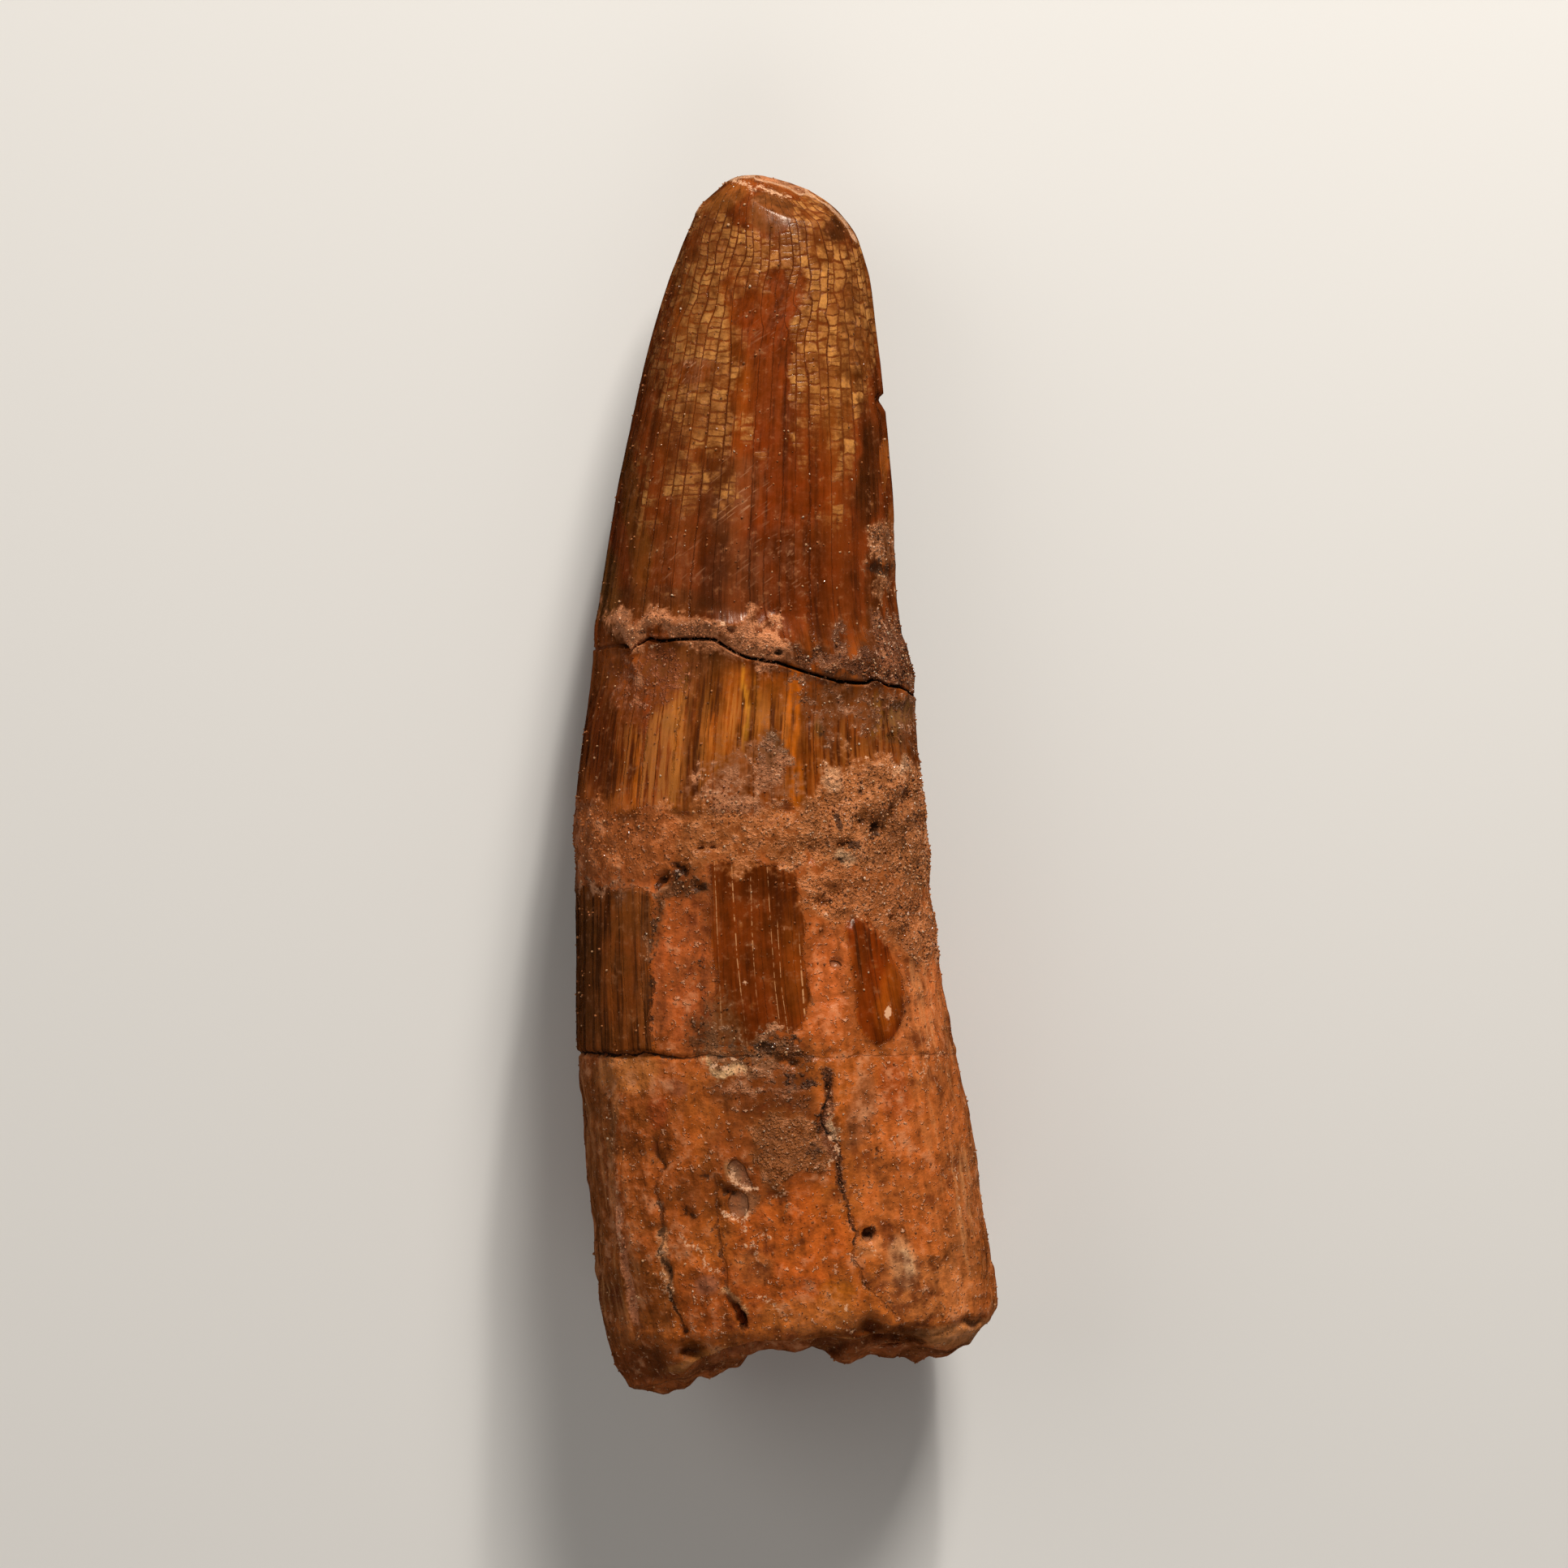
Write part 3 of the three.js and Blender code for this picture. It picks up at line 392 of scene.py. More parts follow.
# Painted highlights on the edges of chips and flakes, as lines with how far they fade out and how bright they
# are.
PALE_LINES = [
    ([(-4.8, 13.3), (-4.3, 12.9), (-3.9, 12.7), (-3.3, 12.5), (-2.9, 12.7), (-2.8, 13.2)], 0.36, 0.83),
    ([(-4.1, 16.1), (-4.0, 15.7), (-3.6, 15.2), (-3.2, 15.0), (-2.6, 14.9), (-2.1, 14.9)], 0.4, 0.83),
    ([(-1.7, 11.5), (-1.5, 11.3), (-1.1, 11.3)], 0.36, 0.68), ([(-3.2, 11.9), (-2.9, 12.0)], 0.36, 0.78),
    ([(-3.4, 10.5), (-2.9, 10.7), (-2.4, 10.5), (-2.1, 10.0), (-2.0, 9.5)], 0.4, 0.58),
    ([(-0.99, 14.3), (0.03, 14.6)], 0.36, 0.58),
    ([(3.6, 18.1), (4.0, 17.6), (3.6, 17.2), (3.1, 16.6)], 0.36, 0.68),
    ([(4.7, 10.1), (5.1, 9.8), (5.7, 10.1)], 0.4, 0.58),
    ([
        (-7.7, 11.5), (-7.3, 10.8), (-6.8, 10.6), (-6.1, 10.1), (-6.0, 9.6), (-5.9, 9.1), (-5.5, 8.8),
        (-5.0, 8.8),
    ], 0.36, 0.63),
    ([(-6.6, 6.8), (-6.0, 6.6), (-5.5, 6.6), (-5.2, 6.8)], 0.36, 0.58),
    ([(-10.5, 7.9), (-9.8, 7.6), (-9.0, 7.3), (-8.5, 6.8)], 0.4, 0.53),
    ([(-9.2, 8.7), (-8.8, 7.9), (-8.5, 8.0)], 0.4, 0.53), ([(-9.4, 15.1), (-9.4, 13.3)], 0.36, 0.48),
    ([(-2.0, 6.8), (-1.3, 6.6), (-0.45, 5.9)], 0.45, 0.58),
    ([
        (-12.4, 16.1), (-12.4, 14.6), (-12.4, 13.1), (-12.3, 12.2), (-12.2, 11.5), (-12.4, 11.0),
        (-12.2, 10.1),
    ], 0.36, 0.5),
    ([(6.3, 10.6), (7.0, 9.9)], 0.5, 0.48), ([(4.6, 4.4), (4.9, 4.0), (5.1, 4.3)], 0.36, 0.58),
    ([
        (-3.8, 89.4), (-3.2, 89.3), (-2.7, 89.1), (-2.4, 88.6), (-1.9, 89.0), (-0.81, 88.5), (0.27, 88.2),
    ], 0.36, 0.63),
    ([(10.1, 23.0), (10.7, 24.7), (10.9, 26.3)], 0.36, 0.48), ([(11.1, 23.2), (11.5, 25.0)], 0.36, 0.48),
    ([(12.8, 9.2), (13.1, 5.6)], 0.36, 0.38), ([(12.6, 16.4), (13.0, 12.8)], 0.36, 0.38),
    ([(-13.0, 18.8), (-12.9, 16.9)], 0.45, 0.38), ([(-13.3, 22.4), (-13.2, 20.0)], 0.4, 0.38),
]
# Flakes gone from the root, each as a closed outline with its depth.
CHIPS = [
    ([
        (-4.2, 14.3), (-3.9, 14.7), (-3.3, 14.7), (-2.8, 14.3), (-2.7, 13.4), (-3.1, 12.8), (-3.6, 12.6),
        (-4.1, 12.9), (-4.3, 13.6),
    ], 0.3),
    ([
        (-4.3, 16.5), (-4.0, 17.0), (-3.6, 17.1), (-3.0, 16.6), (-2.7, 15.8), (-2.3, 15.0), (-2.6, 14.8),
        (-3.4, 15.1), (-4.0, 15.7),
    ], 0.26),
    ([(3.4, 31.5), (3.6, 31.8), (4.1, 31.7), (4.4, 31.5), (4.2, 31.2), (3.6, 31.2)], 0.2),
    ([(5.8, 11.7), (6.1, 12.0), (6.6, 11.9), (6.8, 11.5), (6.6, 11.0), (6.1, 10.9), (5.8, 11.2)], 0.8),
]
# Where the enamel is scratched dull, as soft ellipses.
SCRATCHED = [
    ((-6.6, 75.7), (1.8, 1.4), 0.9), ((-3.6, 66.3), (2.6, 2.4), 0.7), ((-1.3, 78.8), (1.6, 2.4), 0.3),
    ((-7.6, 61.4), (2.4, 1.8), 0.4), ((-0.45, 61.4), (3.0, 3.6), 0.35), ((10.9, 24.8), (1.4, 3.6), 1.0),
]
# Where the brittle skin of the enamel is left as tan tiles, and where it has come off, as soft ellipses.
TILES = [
    ((1.9, 85.7), (3.7, 3.4), 1.0, -14), ((-2.5, 84.1), (5.0, 2.6), 0.95),
    ((3.3, 78.8), (3.4, 8.4), 1.1, -8), ((4.3, 70.1), (0.96, 4.2), 0.7),
    ((-5.0, 85.4), (2.2, 2.4), 1.1, 20), ((-6.3, 81.8), (2.6, 3.6), 1.0, 8),
    ((-6.0, 77.6), (2.8, 5.4), 0.9, 6), ((-6.2, 71.9), (3.0, 3.1), 1.2, 6),
    ((-7.2, 67.4), (1.8, 2.6), 0.85, 8), ((-8.7, 74.6), (1.8, 9.0), 0.62, 10),
    ((-10.7, 66.8), (1.2, 5.4), 0.45, 10), ((1.1, 70.1), (0.72, 3.6), 0.6),
    ((-4.5, 66.8), (1.3, 3.0), 0.62), ((-1.6, 83.0), (3.6, 3.0), 0.8), ((5.7, 75.8), (0.96, 6.0), 0.7, -8),
    ((-1.9, 74.6), (6.0, 7.8), 0.3), ((3.8, 65.6), (1.8, 3.6), 0.35),
]
BARE_OF_TILES = [
    ((-1.1, 86.8), (1.4, 2.0), 1.0), ((4.1, 85.9), (0.9, 1.2), 0.9, -30),
    ((-0.57, 76.4), (1.2, 6.6), 0.8, 2), ((-6.8, 75.5), (1.4, 1.1), 0.8),
]

# ---- Hollows and bumps: centre, half-sizes, rise, tilt if any ----
HOLLOWS = [
    ((-11.5, 54.6), (0.42, 0.3), -0.5), ((-0.45, 54.6), (0.24, 0.24), -0.35),
    ((-6.3, 40.2), (0.3, 0.15), -0.7), ((-5.4, 40.2), (0.48, 0.18), -0.7),
    ((3.9, 31.6), (0.54, 0.3), -0.25), ((-9.7, 31.4), (0.42, 5.4), -0.16),
    ((-6.0, 31.1), (0.36, 4.8), -0.12), ((-9.3, 37.6), (0.72, 0.36), -0.5, 45),
    ((-7.9, 38.5), (0.72, 0.36), -0.5, -35), ((-6.6, 37.2), (0.6, 0.3), -0.35, -15),
    ((6.9, 17.7), (0.24, 0.24), -0.3), ((3.8, 42.1), (0.3, 0.54), -0.5), ((4.7, 40.5), (0.42, 0.3), -0.45),
    ((5.5, 42.2), (0.3, 0.24), -0.4), ((6.6, 41.6), (0.36, 0.54), -0.45), ((3.0, 40.4), (0.24, 0.3), -0.4),
    ((7.7, 39.8), (0.3, 0.24), -0.35), ((7.8, 48.5), (0.42, 0.3), -0.3), ((4.0, 39.2), (0.36, 0.24), -0.4),
    ((-4.3, 14.8), (0.66, 0.48), -0.35), ((-7.3, 13.0), (0.66, 0.9), -0.3, 30),
    ((-3.6, 5.5), (0.36, 1.2), -1.6, 28), ((-8.7, 9.0), (0.3, 0.78), -0.5, 25),
    ((-10.9, 3.4), (0.3, 0.66), -0.9, 25), ((-7.7, 4.4), (0.3, 0.3), -0.6),
    ((8.2, 49.7), (1.2, 1.2), -0.15), ((8.4, 9.1), (1.6, 1.8), 0.15), ((5.5, 34.7), (1.4, 0.72), -0.15),
    ((4.3, 40.4), (1.8, 1.6), 0.25), ((7.0, 44.9), (2.4, 1.9), 0.3), ((-0.15, 41.6), (3.0, 2.0), 0.15),
    ((-4.0, 56.3), (3.6, 1.3), 0.15), ((-0.45, 17.0), (4.8, 2.6), 0.12), ((-7.6, 30.8), (1.8, 6.3), -0.2),
    ((3.1, 29.9), (1.3, 5.1), -0.16, -4), ((10.3, 28.4), (1.8, 4.8), -0.1, -8),
    ((7.2, 73.2), (0.54, 0.66), -0.45),
]
# Hollows in the lip of the break: centre, half-sizes, depth. The depth also sets the shade painted in them.
LIP_HOLLOWS = [
    ((-10.3, 1.9), (2.2, 1.7), 1.5), ((-6.8, 3.2), (1.4, 0.78), 1.3), ((3.4, 3.4), (1.7, 0.84), 1.3),
    ((6.6, 4.5), (1.4, 0.9), 1.2), ((7.9, 4.0), (2.0, 0.6), 1.0), ((9.4, 4.1), (1.4, 0.9), 1.4),
    ((13.9, 4.9), (1.2, 0.48), 1.2), ((-2.5, 3.5), (1.8, 0.6), 0.5),
]

# ---- Grains of sand ----
GRAINS = 9000
GRAIN_RADIUS = (0.045, 0.1)
GRAIN_TINTS = {  # colour of the quartz: share of the grains
    "#d8ac80": 0.14, "#b9794a": 0.24, "#8a4a26": 0.24, "#6b3a22": 0.14, "#e8cfae": 0.05, "#9c5a30": 0.13,
    "#3a2012": 0.06,
}

# ---- Floor and lamps ----
FLOOR_REACH = 1500
FLOOR_LOOK = ("#d4d0ca", 0.8)  # colour and roughness
GLOW = 0.1  # of the room, from all sides
LAMPS = [  # name, place and size in metres, watts, colour, whether gloss mirrors it
    ("key", (0.12, 0.36, 0.3), 0.13, 2.4, (1.0, 0.98, 0.95), False),
    ("glint", (0.1, 0.46, 0.22), 0.024, 1.2, (1.0, 0.98, 0.95), True),
    ("fill", (-0.4, 0.15, 0.35), 0.4, 0.65, (1.0, 0.97, 0.94), False),
    ("bounce", (0.05, -0.35, 0.25), 0.3, 0.4, (1.0, 0.97, 0.94), False),
]


# ---- Curves, shapes and noise on arrays of points ----
def smooth(value, start, end):
    """0 below `start`, 1 above `end`, easing between them."""
    t = np.clip((value - start) / (end - start), 0, 1)
    return t * t * (3 - 2 * t)


def fade(value, start, end):
    """1 below `start`, 0 above `end`, easing between them."""
    return 1 - smooth(value, start, end)


def mix(a, b, share):
    """`a` where `share` is 0, `b` where it is 1."""
    return a + (b - a) * share


def curve(points, along):
    """A smooth curve through `points`, one whole step of `along` from each point to the next."""
    points = np.array(points, float)
    path = np.vstack([2 * points[0] - points[1], points, 2 * points[-1] - points[-2]])
    chord = np.linalg.norm(np.diff(path, axis=0), axis=1)
    step = np.clip(along.astype(int), 0, len(points) - 2)
    t = (along - step)[:, None]
    before, here, there, after = (path[step + k] for k in range(4))
    d0, d1, d2 = (chord[step + k][:, None] for k in range(3))
    leave = d1 * ((here - before) / d0 - (there - before) / (d0 + d1) + (there - here) / d1)
    arrive = d1 * ((there - here) / d1 - (after - here) / (d1 + d2) + (after - there) / d2)
    rise = there - here
    return here + t * leave + t**2 * (3 * rise - 2 * leave - arrive) + t**3 * (leave + arrive - 2 * rise)


def profile(points, x):
    """Heights through (x, height) points, easing from each one to the next."""
    xs, heights = np.array(points, float).T
    step = np.clip(np.searchsorted(xs, x) - 1, 0, len(xs) - 2)
    return mix(heights[step], heights[step + 1], smooth((x - xs[step]) / (xs[step + 1] - xs[step]), 0, 1))


def noise(points, size, seed):
    """Random heights from -1 to 1 over space, with bumps about `size` wide."""
    cell = points / size
    base = np.floor(cell).astype(np.int64)
    ease = smooth(cell - base, 0, 1)
    total = np.zeros(points.shape[:-1])
    for corner in itertools.product((0, 1), repeat=3):
        at = base + corner
        key = (at[..., 0] * 73856093) ^ (at[..., 1] * 19349663) ^ (at[..., 2] * 83492791)
        key ^= (SEED + seed) * 40503
        key = (key ^ (key >> 13)) * 1274126177
        value = ((key ^ (key >> 16)) & 0xFFFF) / 0x7FFF - 1
        total += np.prod(np.where(corner, ease, 1 - ease), axis=-1) * value
    return total


def blob(u, v, centre, size, edge, tilt=0):
    """1 in an ellipse's middle, 0 outside it. `edge` is where its fading starts and ends, in half-sizes."""
    turn = math.radians(tilt)
    du, dv = u - centre[0], v - centre[1]
    right = du * math.cos(turn) + dv * math.sin(turn)
    up = dv * math.cos(turn) - du * math.sin(turn)
    return fade(np.hypot(right / size[0], up / size[1]), *edge)


def strongest(marks, place, edge):
    """How strongly the strongest of some marks covers each point."""
    covers = [strength * blob(*place, centre, size, edge, *tilt) for centre, size, strength, *tilt in marks]
    return np.max(covers, axis=0)


def distance(u, v, points):
    """Distance to a line through points."""
    nearest = np.full(u.shape, np.inf)
    for (u0, v0), (u1, v1) in zip(points, points[1:]):
        du, dv = u1 - u0, v1 - v0
        t = np.clip(((u - u0) * du + (v - v0) * dv) / (du * du + dv * dv), 0, 1)
        nearest = np.minimum(nearest, np.hypot(u - u0 - t * du, v - v0 - t * dv))
    return nearest


def inside(u, v, outline):
    """Distance to a closed outline, above 0 inside it and below 0 outside."""
    within = np.zeros(u.shape, bool)
    for (u0, v0), (u1, v1) in zip(outline, outline[1:] + outline[:1]):
        if v0 != v1:
            within ^= ((v0 > v) != (v1 > v)) & (u < (u1 - u0) * (v - v0) / (v1 - v0) + u0)
    return np.where(within, 1, -1) * distance(u, v, outline + outline[:1])


def linear(colour):
    """A hex colour as linear red, green and blue."""
    parts = np.array([int(colour[i : i + 2], 16) / 255 for i in (1, 3, 5)])
    return np.where(parts <= 0.04045, parts / 12.92, ((parts + 0.055) / 1.055) ** 2.4)


def lay(ground, marks, place, edge, mask=1):
    """Lays marks of colour over a ground, one after another."""
    for colour, centre, size, strength, *tilt in marks:
        cover = strength * blob(*place, centre, size, edge, *tilt) * mask
        ground = mix(ground, linear(colour), cover[..., None])
    return ground


# ---- The tooth's plain form ----
def sections(along):
    """Left and right edge, half the thickness, height of the middle and roundness of each ring."""
    left = curve([s[0] for s in STATIONS], along)
    right = curve([s[1] for s in STATIONS], along)
    depth = curve([((s[0][1] + s[1][1]) / 2, s[2], s[3]) for s in STATIONS], along)
    power = mix(ROOT_POWER, CROWN_POWER, smooth(depth[:, 0], NECK_START, CROWN_START))
    return left, right, depth[:, 1] / 2, depth[:, 2] + depth[:, 1] / 2, power


def wall_rings():
    """Where the rings lie: evenly, but closer together at the two fractures and the tip."""
    fine = np.linspace(0, len(STATIONS) - 1, FINE_STEPS)
    left, right, *_ = sections(fine)
    y = (left[:, 1] + right[:, 1]) / 2
    closer = 1
    for (station, *_), (rise, width) in zip(FRACTURES, CLOSER_AT_FRACTURES):
        closer = closer + rise * np.exp(-(((y - np.interp(station, fine, y)) / width) ** 2))
    closer += 1.2 * smooth(y, 84, 90)
    reach = np.concatenate([[0], np.cumsum(np.diff(y) * closer[1:])])
    return np.interp(np.linspace(0, reach[-1], WALL_RINGS + 1), reach, fine)


def round_the_tooth(left, right, half_thick, power):
    """How far across (-1 left, 1 right) and up (-1 belly, 1 face) each ring's points lie, evenly spaced."""
    turn = np.linspace(0, math.pi / 2, 400)
    across, up = [], []
    for a, b, n in zip((right[:, 0] - left[:, 0]) / 2, half_thick, power):
        c, s = np.cos(turn) ** (2 / n), np.sin(turn) ** (2 / n)
        run = np.concatenate([[0], np.cumsum(np.hypot(a * np.diff(c), 0.8 * b * np.diff(s)))])
        rows = []
        for sides in (FACE_SIDES // 2, BACK_SIDES // 2):
            at = np.interp(np.linspace(0, run[-1], sides + 1), run, turn)
            rows.append((np.cos(at) ** (2 / n), np.sin(at) ** (2 / n)))
        (fc, fs), (bc, bs) = rows
        across.append(np.concatenate([-fc, fc[-2::-1], bc[1:], -bc[-2:0:-1]]))
        up.append(np.concatenate([fs, fs[-2::-1], -bs[1:], -bs[-2:0:-1]]))
    return np.array(across), np.array(up)


def seen(x, y, z):
    """u and v of a point."""
    nearer = VIEW_DISTANCE / (VIEW_DISTANCE + VIEW_PLANE - z)
    return VIEW_CENTRE[0] + (x - VIEW_CENTRE[0]) * nearer, VIEW_CENTRE[1] + (y - VIEW_CENTRE[1]) * nearer


def unseen_y(v, z):
    """The y at which a point of height z is seen at v."""
    return VIEW_CENTRE[1] + (v - VIEW_CENTRE[1]) * (VIEW_DISTANCE + VIEW_PLANE - z) / VIEW_DISTANCE


def shave(points, normal, through):
    """Moves the points that stand outside a plane on to it."""
    normal = np.array(normal) / np.linalg.norm(normal)
    over = np.maximum((points - np.array(through)) @ normal, 0)
    return points - over[..., None] * normal


def ring_y(station, share):
    """y of an unbent ring, `share` of the way from its left edge to its right."""
    left, right, *_ = sections(np.array([station]))
    return mix(left[0, 1], right[0, 1], share)


def fracture_shift(station, trace, bow, across, up):
    """How far a fracture strays along the tooth from its unbent ring, at each point round it."""
    left, right, half_thick, middle_z, _ = (part[0] for part in sections(np.array([station])))
    share = (1 + across) / 2
    x, y = mix(left[0], right[0], share), mix(left[1], right[1], share)
    z = middle_z + up * half_thick
    us, vs = np.array(trace).T
    face = unseen_y(np.interp(seen(x, y, z)[0], us, vs), z) - y
    back = profile(bow, share) + mix(face, 0, smooth(-up, 0, 0.25))
    return np.where(up > 0, face, back)


def plain_form():
    """Rings of points from the break to the tip, and where they are seen, as arrays of rings by sides."""
    along = wall_rings()[:-1]  # the apex is added as one point
    left, right, half_thick, middle_z, power = sections(along)
    across, up = round_the_tooth(left, right, half_thick, power)
    share = (1 + across) / 2
    x = mix(left[:, :1], right[:, :1], share)
    y = mix(left[:, 1:], right[:, 1:], share)
    z = middle_z[:, None] + up * half_thick[:, None]

    # Both fractures bend round the tooth, and the rings beside them bend with them.
    shifts = []
    for station, trace, bow, flat, reach in FRACTURES:
        shifts.append(fracture_shift(station, trace, bow, across, up))
        beside = smooth(along, station - reach, station - flat) * fade(along, station + flat, station + reach)
        y = y + beside[:, None] * shifts[-1]
    to_upper, to_lower = (y - ring_y(line[0], share) - shift for line, shift in zip(FRACTURES, shifts))

    # The tip's wear facet comes first, so that its marks lie on it as it is seen.
    spot = shave(np.stack([x, y, z], axis=-1), *TIP_FACET)
    x, y, z = np.moveaxis(spot, -1, 0)
    u, v = seen(x, y, z)
    v = v + 7 * np.minimum(up, 0) * np.clip(np.abs(v - 56) / 12, 0, 1)  # the back's marks are not the face's
    ragged = (
        u + 0.45 * noise(spot, 3.1, 4) + 0.2 * noise(spot, 0.9, 5),
        v + 0.45 * noise(spot, 3.1, 6) + 0.2 * noise(spot, 0.9, 7),
    )
    rough = (mix(u, ragged[0], 0.5), mix(v, ragged[1], 0.5))
    round_face, round_back = np.linspace(0, FLUTES, FACE_SIDES + 1), np.linspace(FLUTES, 0, BACK_SIDES + 1)
    return SimpleNamespace(
        x=x, y=y, z=z, spot=spot, u=u, v=v, rough=rough, ragged=ragged,
        along=along, left=left, right=right, half_thick=half_thick, across=across, up=up, share=share,
        to_upper=to_upper, to_lower=to_lower,
        around=np.concatenate([round_face, round_back[1:-1]])[None, :] + np.zeros_like(u),
    )


# ---- What lies where on the tooth ----
def add_layers(skin):
    """How fully each layer and kind of mark covers each point. Distances are above 0 inside an outline."""
    u, v, spot, rough, ragged = skin.u, skin.v, skin.spot, skin.rough, skin.ragged
    skin.panels = [inside(*rough, outline) for _, outline in PANELS]
    skin.panel = np.max(skin.panels, axis=0)
    skin.crown = np.minimum(v - CROWN_ENAMEL_START + 0.8 * noise(spot, 2.4, 8), 3)
    skin.worn = np.min([distance(u, v, rim) - half for rim, half in WORN_RIMS], axis=0)
    skin.worn -= 0.08 * noise(spot, 0.8, 9)
    skin.enamel = np.maximum(np.minimum(skin.crown, skin.worn), skin.panel)

    fingers = noise(np.stack([skin.x, 0.16 * skin.y, skin.z], axis=-1), 0.8, 36)
    frayed = (
        ragged[0] + 0.5 * noise(spot, 1.5, 33),
        ragged[1] + 0.7 * noise(spot, 1.5, 34) + 1.1 * fingers,
    )
    skin.sand_covers = [cover * smooth(inside(*frayed, outline), -0.9, 0.9) for _, outline, cover in SAND]
    for _, line, half, cover in SAND_LINES:
        skin.sand_covers.append(cover * fade(distance(*rough, line), half * 0.4, half * 1.6))
    skin.sand = np.max(skin.sand_covers, axis=0)

    skin.tiles = strongest(TILES, ragged, (0.45, 1.3))
    for centre, size, bare, *tilt in BARE_OF_TILES:
        skin.tiles = skin.tiles * (1 - bare * blob(*ragged, centre, size, (0.7, 1.15), *tilt))
    skin.scratched = strongest(SCRATCHED, ragged, (0.3, 1.4))
    skin.stain = strongest(STAINS_AND_HOLE_SHADE, rough, (0.4, 1.4))
    skin.pale = strongest(PALE, rough, (0.5, 1.3))
    for line, half, strength in PALE_LINES:
        skin.pale = np.maximum(skin.pale, strength * (1 - distance(u, v, line) / half))
    skin.chips = np.max([inside(u, v, outline) for outline, _ in CHIPS], axis=0)
    skin.stripy = smooth(v, 42.5, 44) * fade(skin.to_upper + 0.9 * fingers, -3.6, -1.0)
    skin.stripy = skin.stripy * fade(skin.sand, 0.2, 0.6)

    # Long cracks, as distances to their right and left, with how open they are.
    cracks, opened = [], []
    for crack in LONG_CRACKS:
        vs, us = np.array(sorted((cv, cu) for cu, cv in crack)).T
        cracks.append(rough[0] - np.interp(v, vs, us))
        opened.append(smooth(v, vs[0] - 0.6, vs[0]) * fade(v, vs[-1] - 1.2, vs[-1]))
    skin.cracks, skin.open = np.stack(cracks, axis=-1), np.stack(opened, axis=-1)


def add_colours(skin):
    """The colour of the enamel or dentine at each point, and that of the sand where it covers them."""
    on_panel = smooth(skin.panel, -0.05, 0.12)
    wash = np.zeros(skin.u.shape + (3,)) + linear(GROUND_COLOUR)
    wash = lay(wash, WASHES, skin.ragged, (0.75, 1.15))
    for (colour, _), depth in zip(PANELS, skin.panels):
        wash = mix(wash, linear(colour), smooth(depth, -0.05, 0.12)[..., None])
    wash = lay(wash, PANEL_WASHES, skin.ragged, (0.5, 1.3), on_panel)
    skin.wash = mix(wash, linear(WORN_RIM_COLOUR), smooth(-skin.worn, -0.25, 0.15)[..., None])

    skin.sand_wash = np.zeros_like(wash) + linear(SAND_COLOUR)
    for (colour, *_), cover in zip(SAND + SAND_LINES, skin.sand_covers):
        skin.sand_wash = mix(skin.sand_wash, linear(colour), smooth(cover, 0.05, 0.25)[..., None])


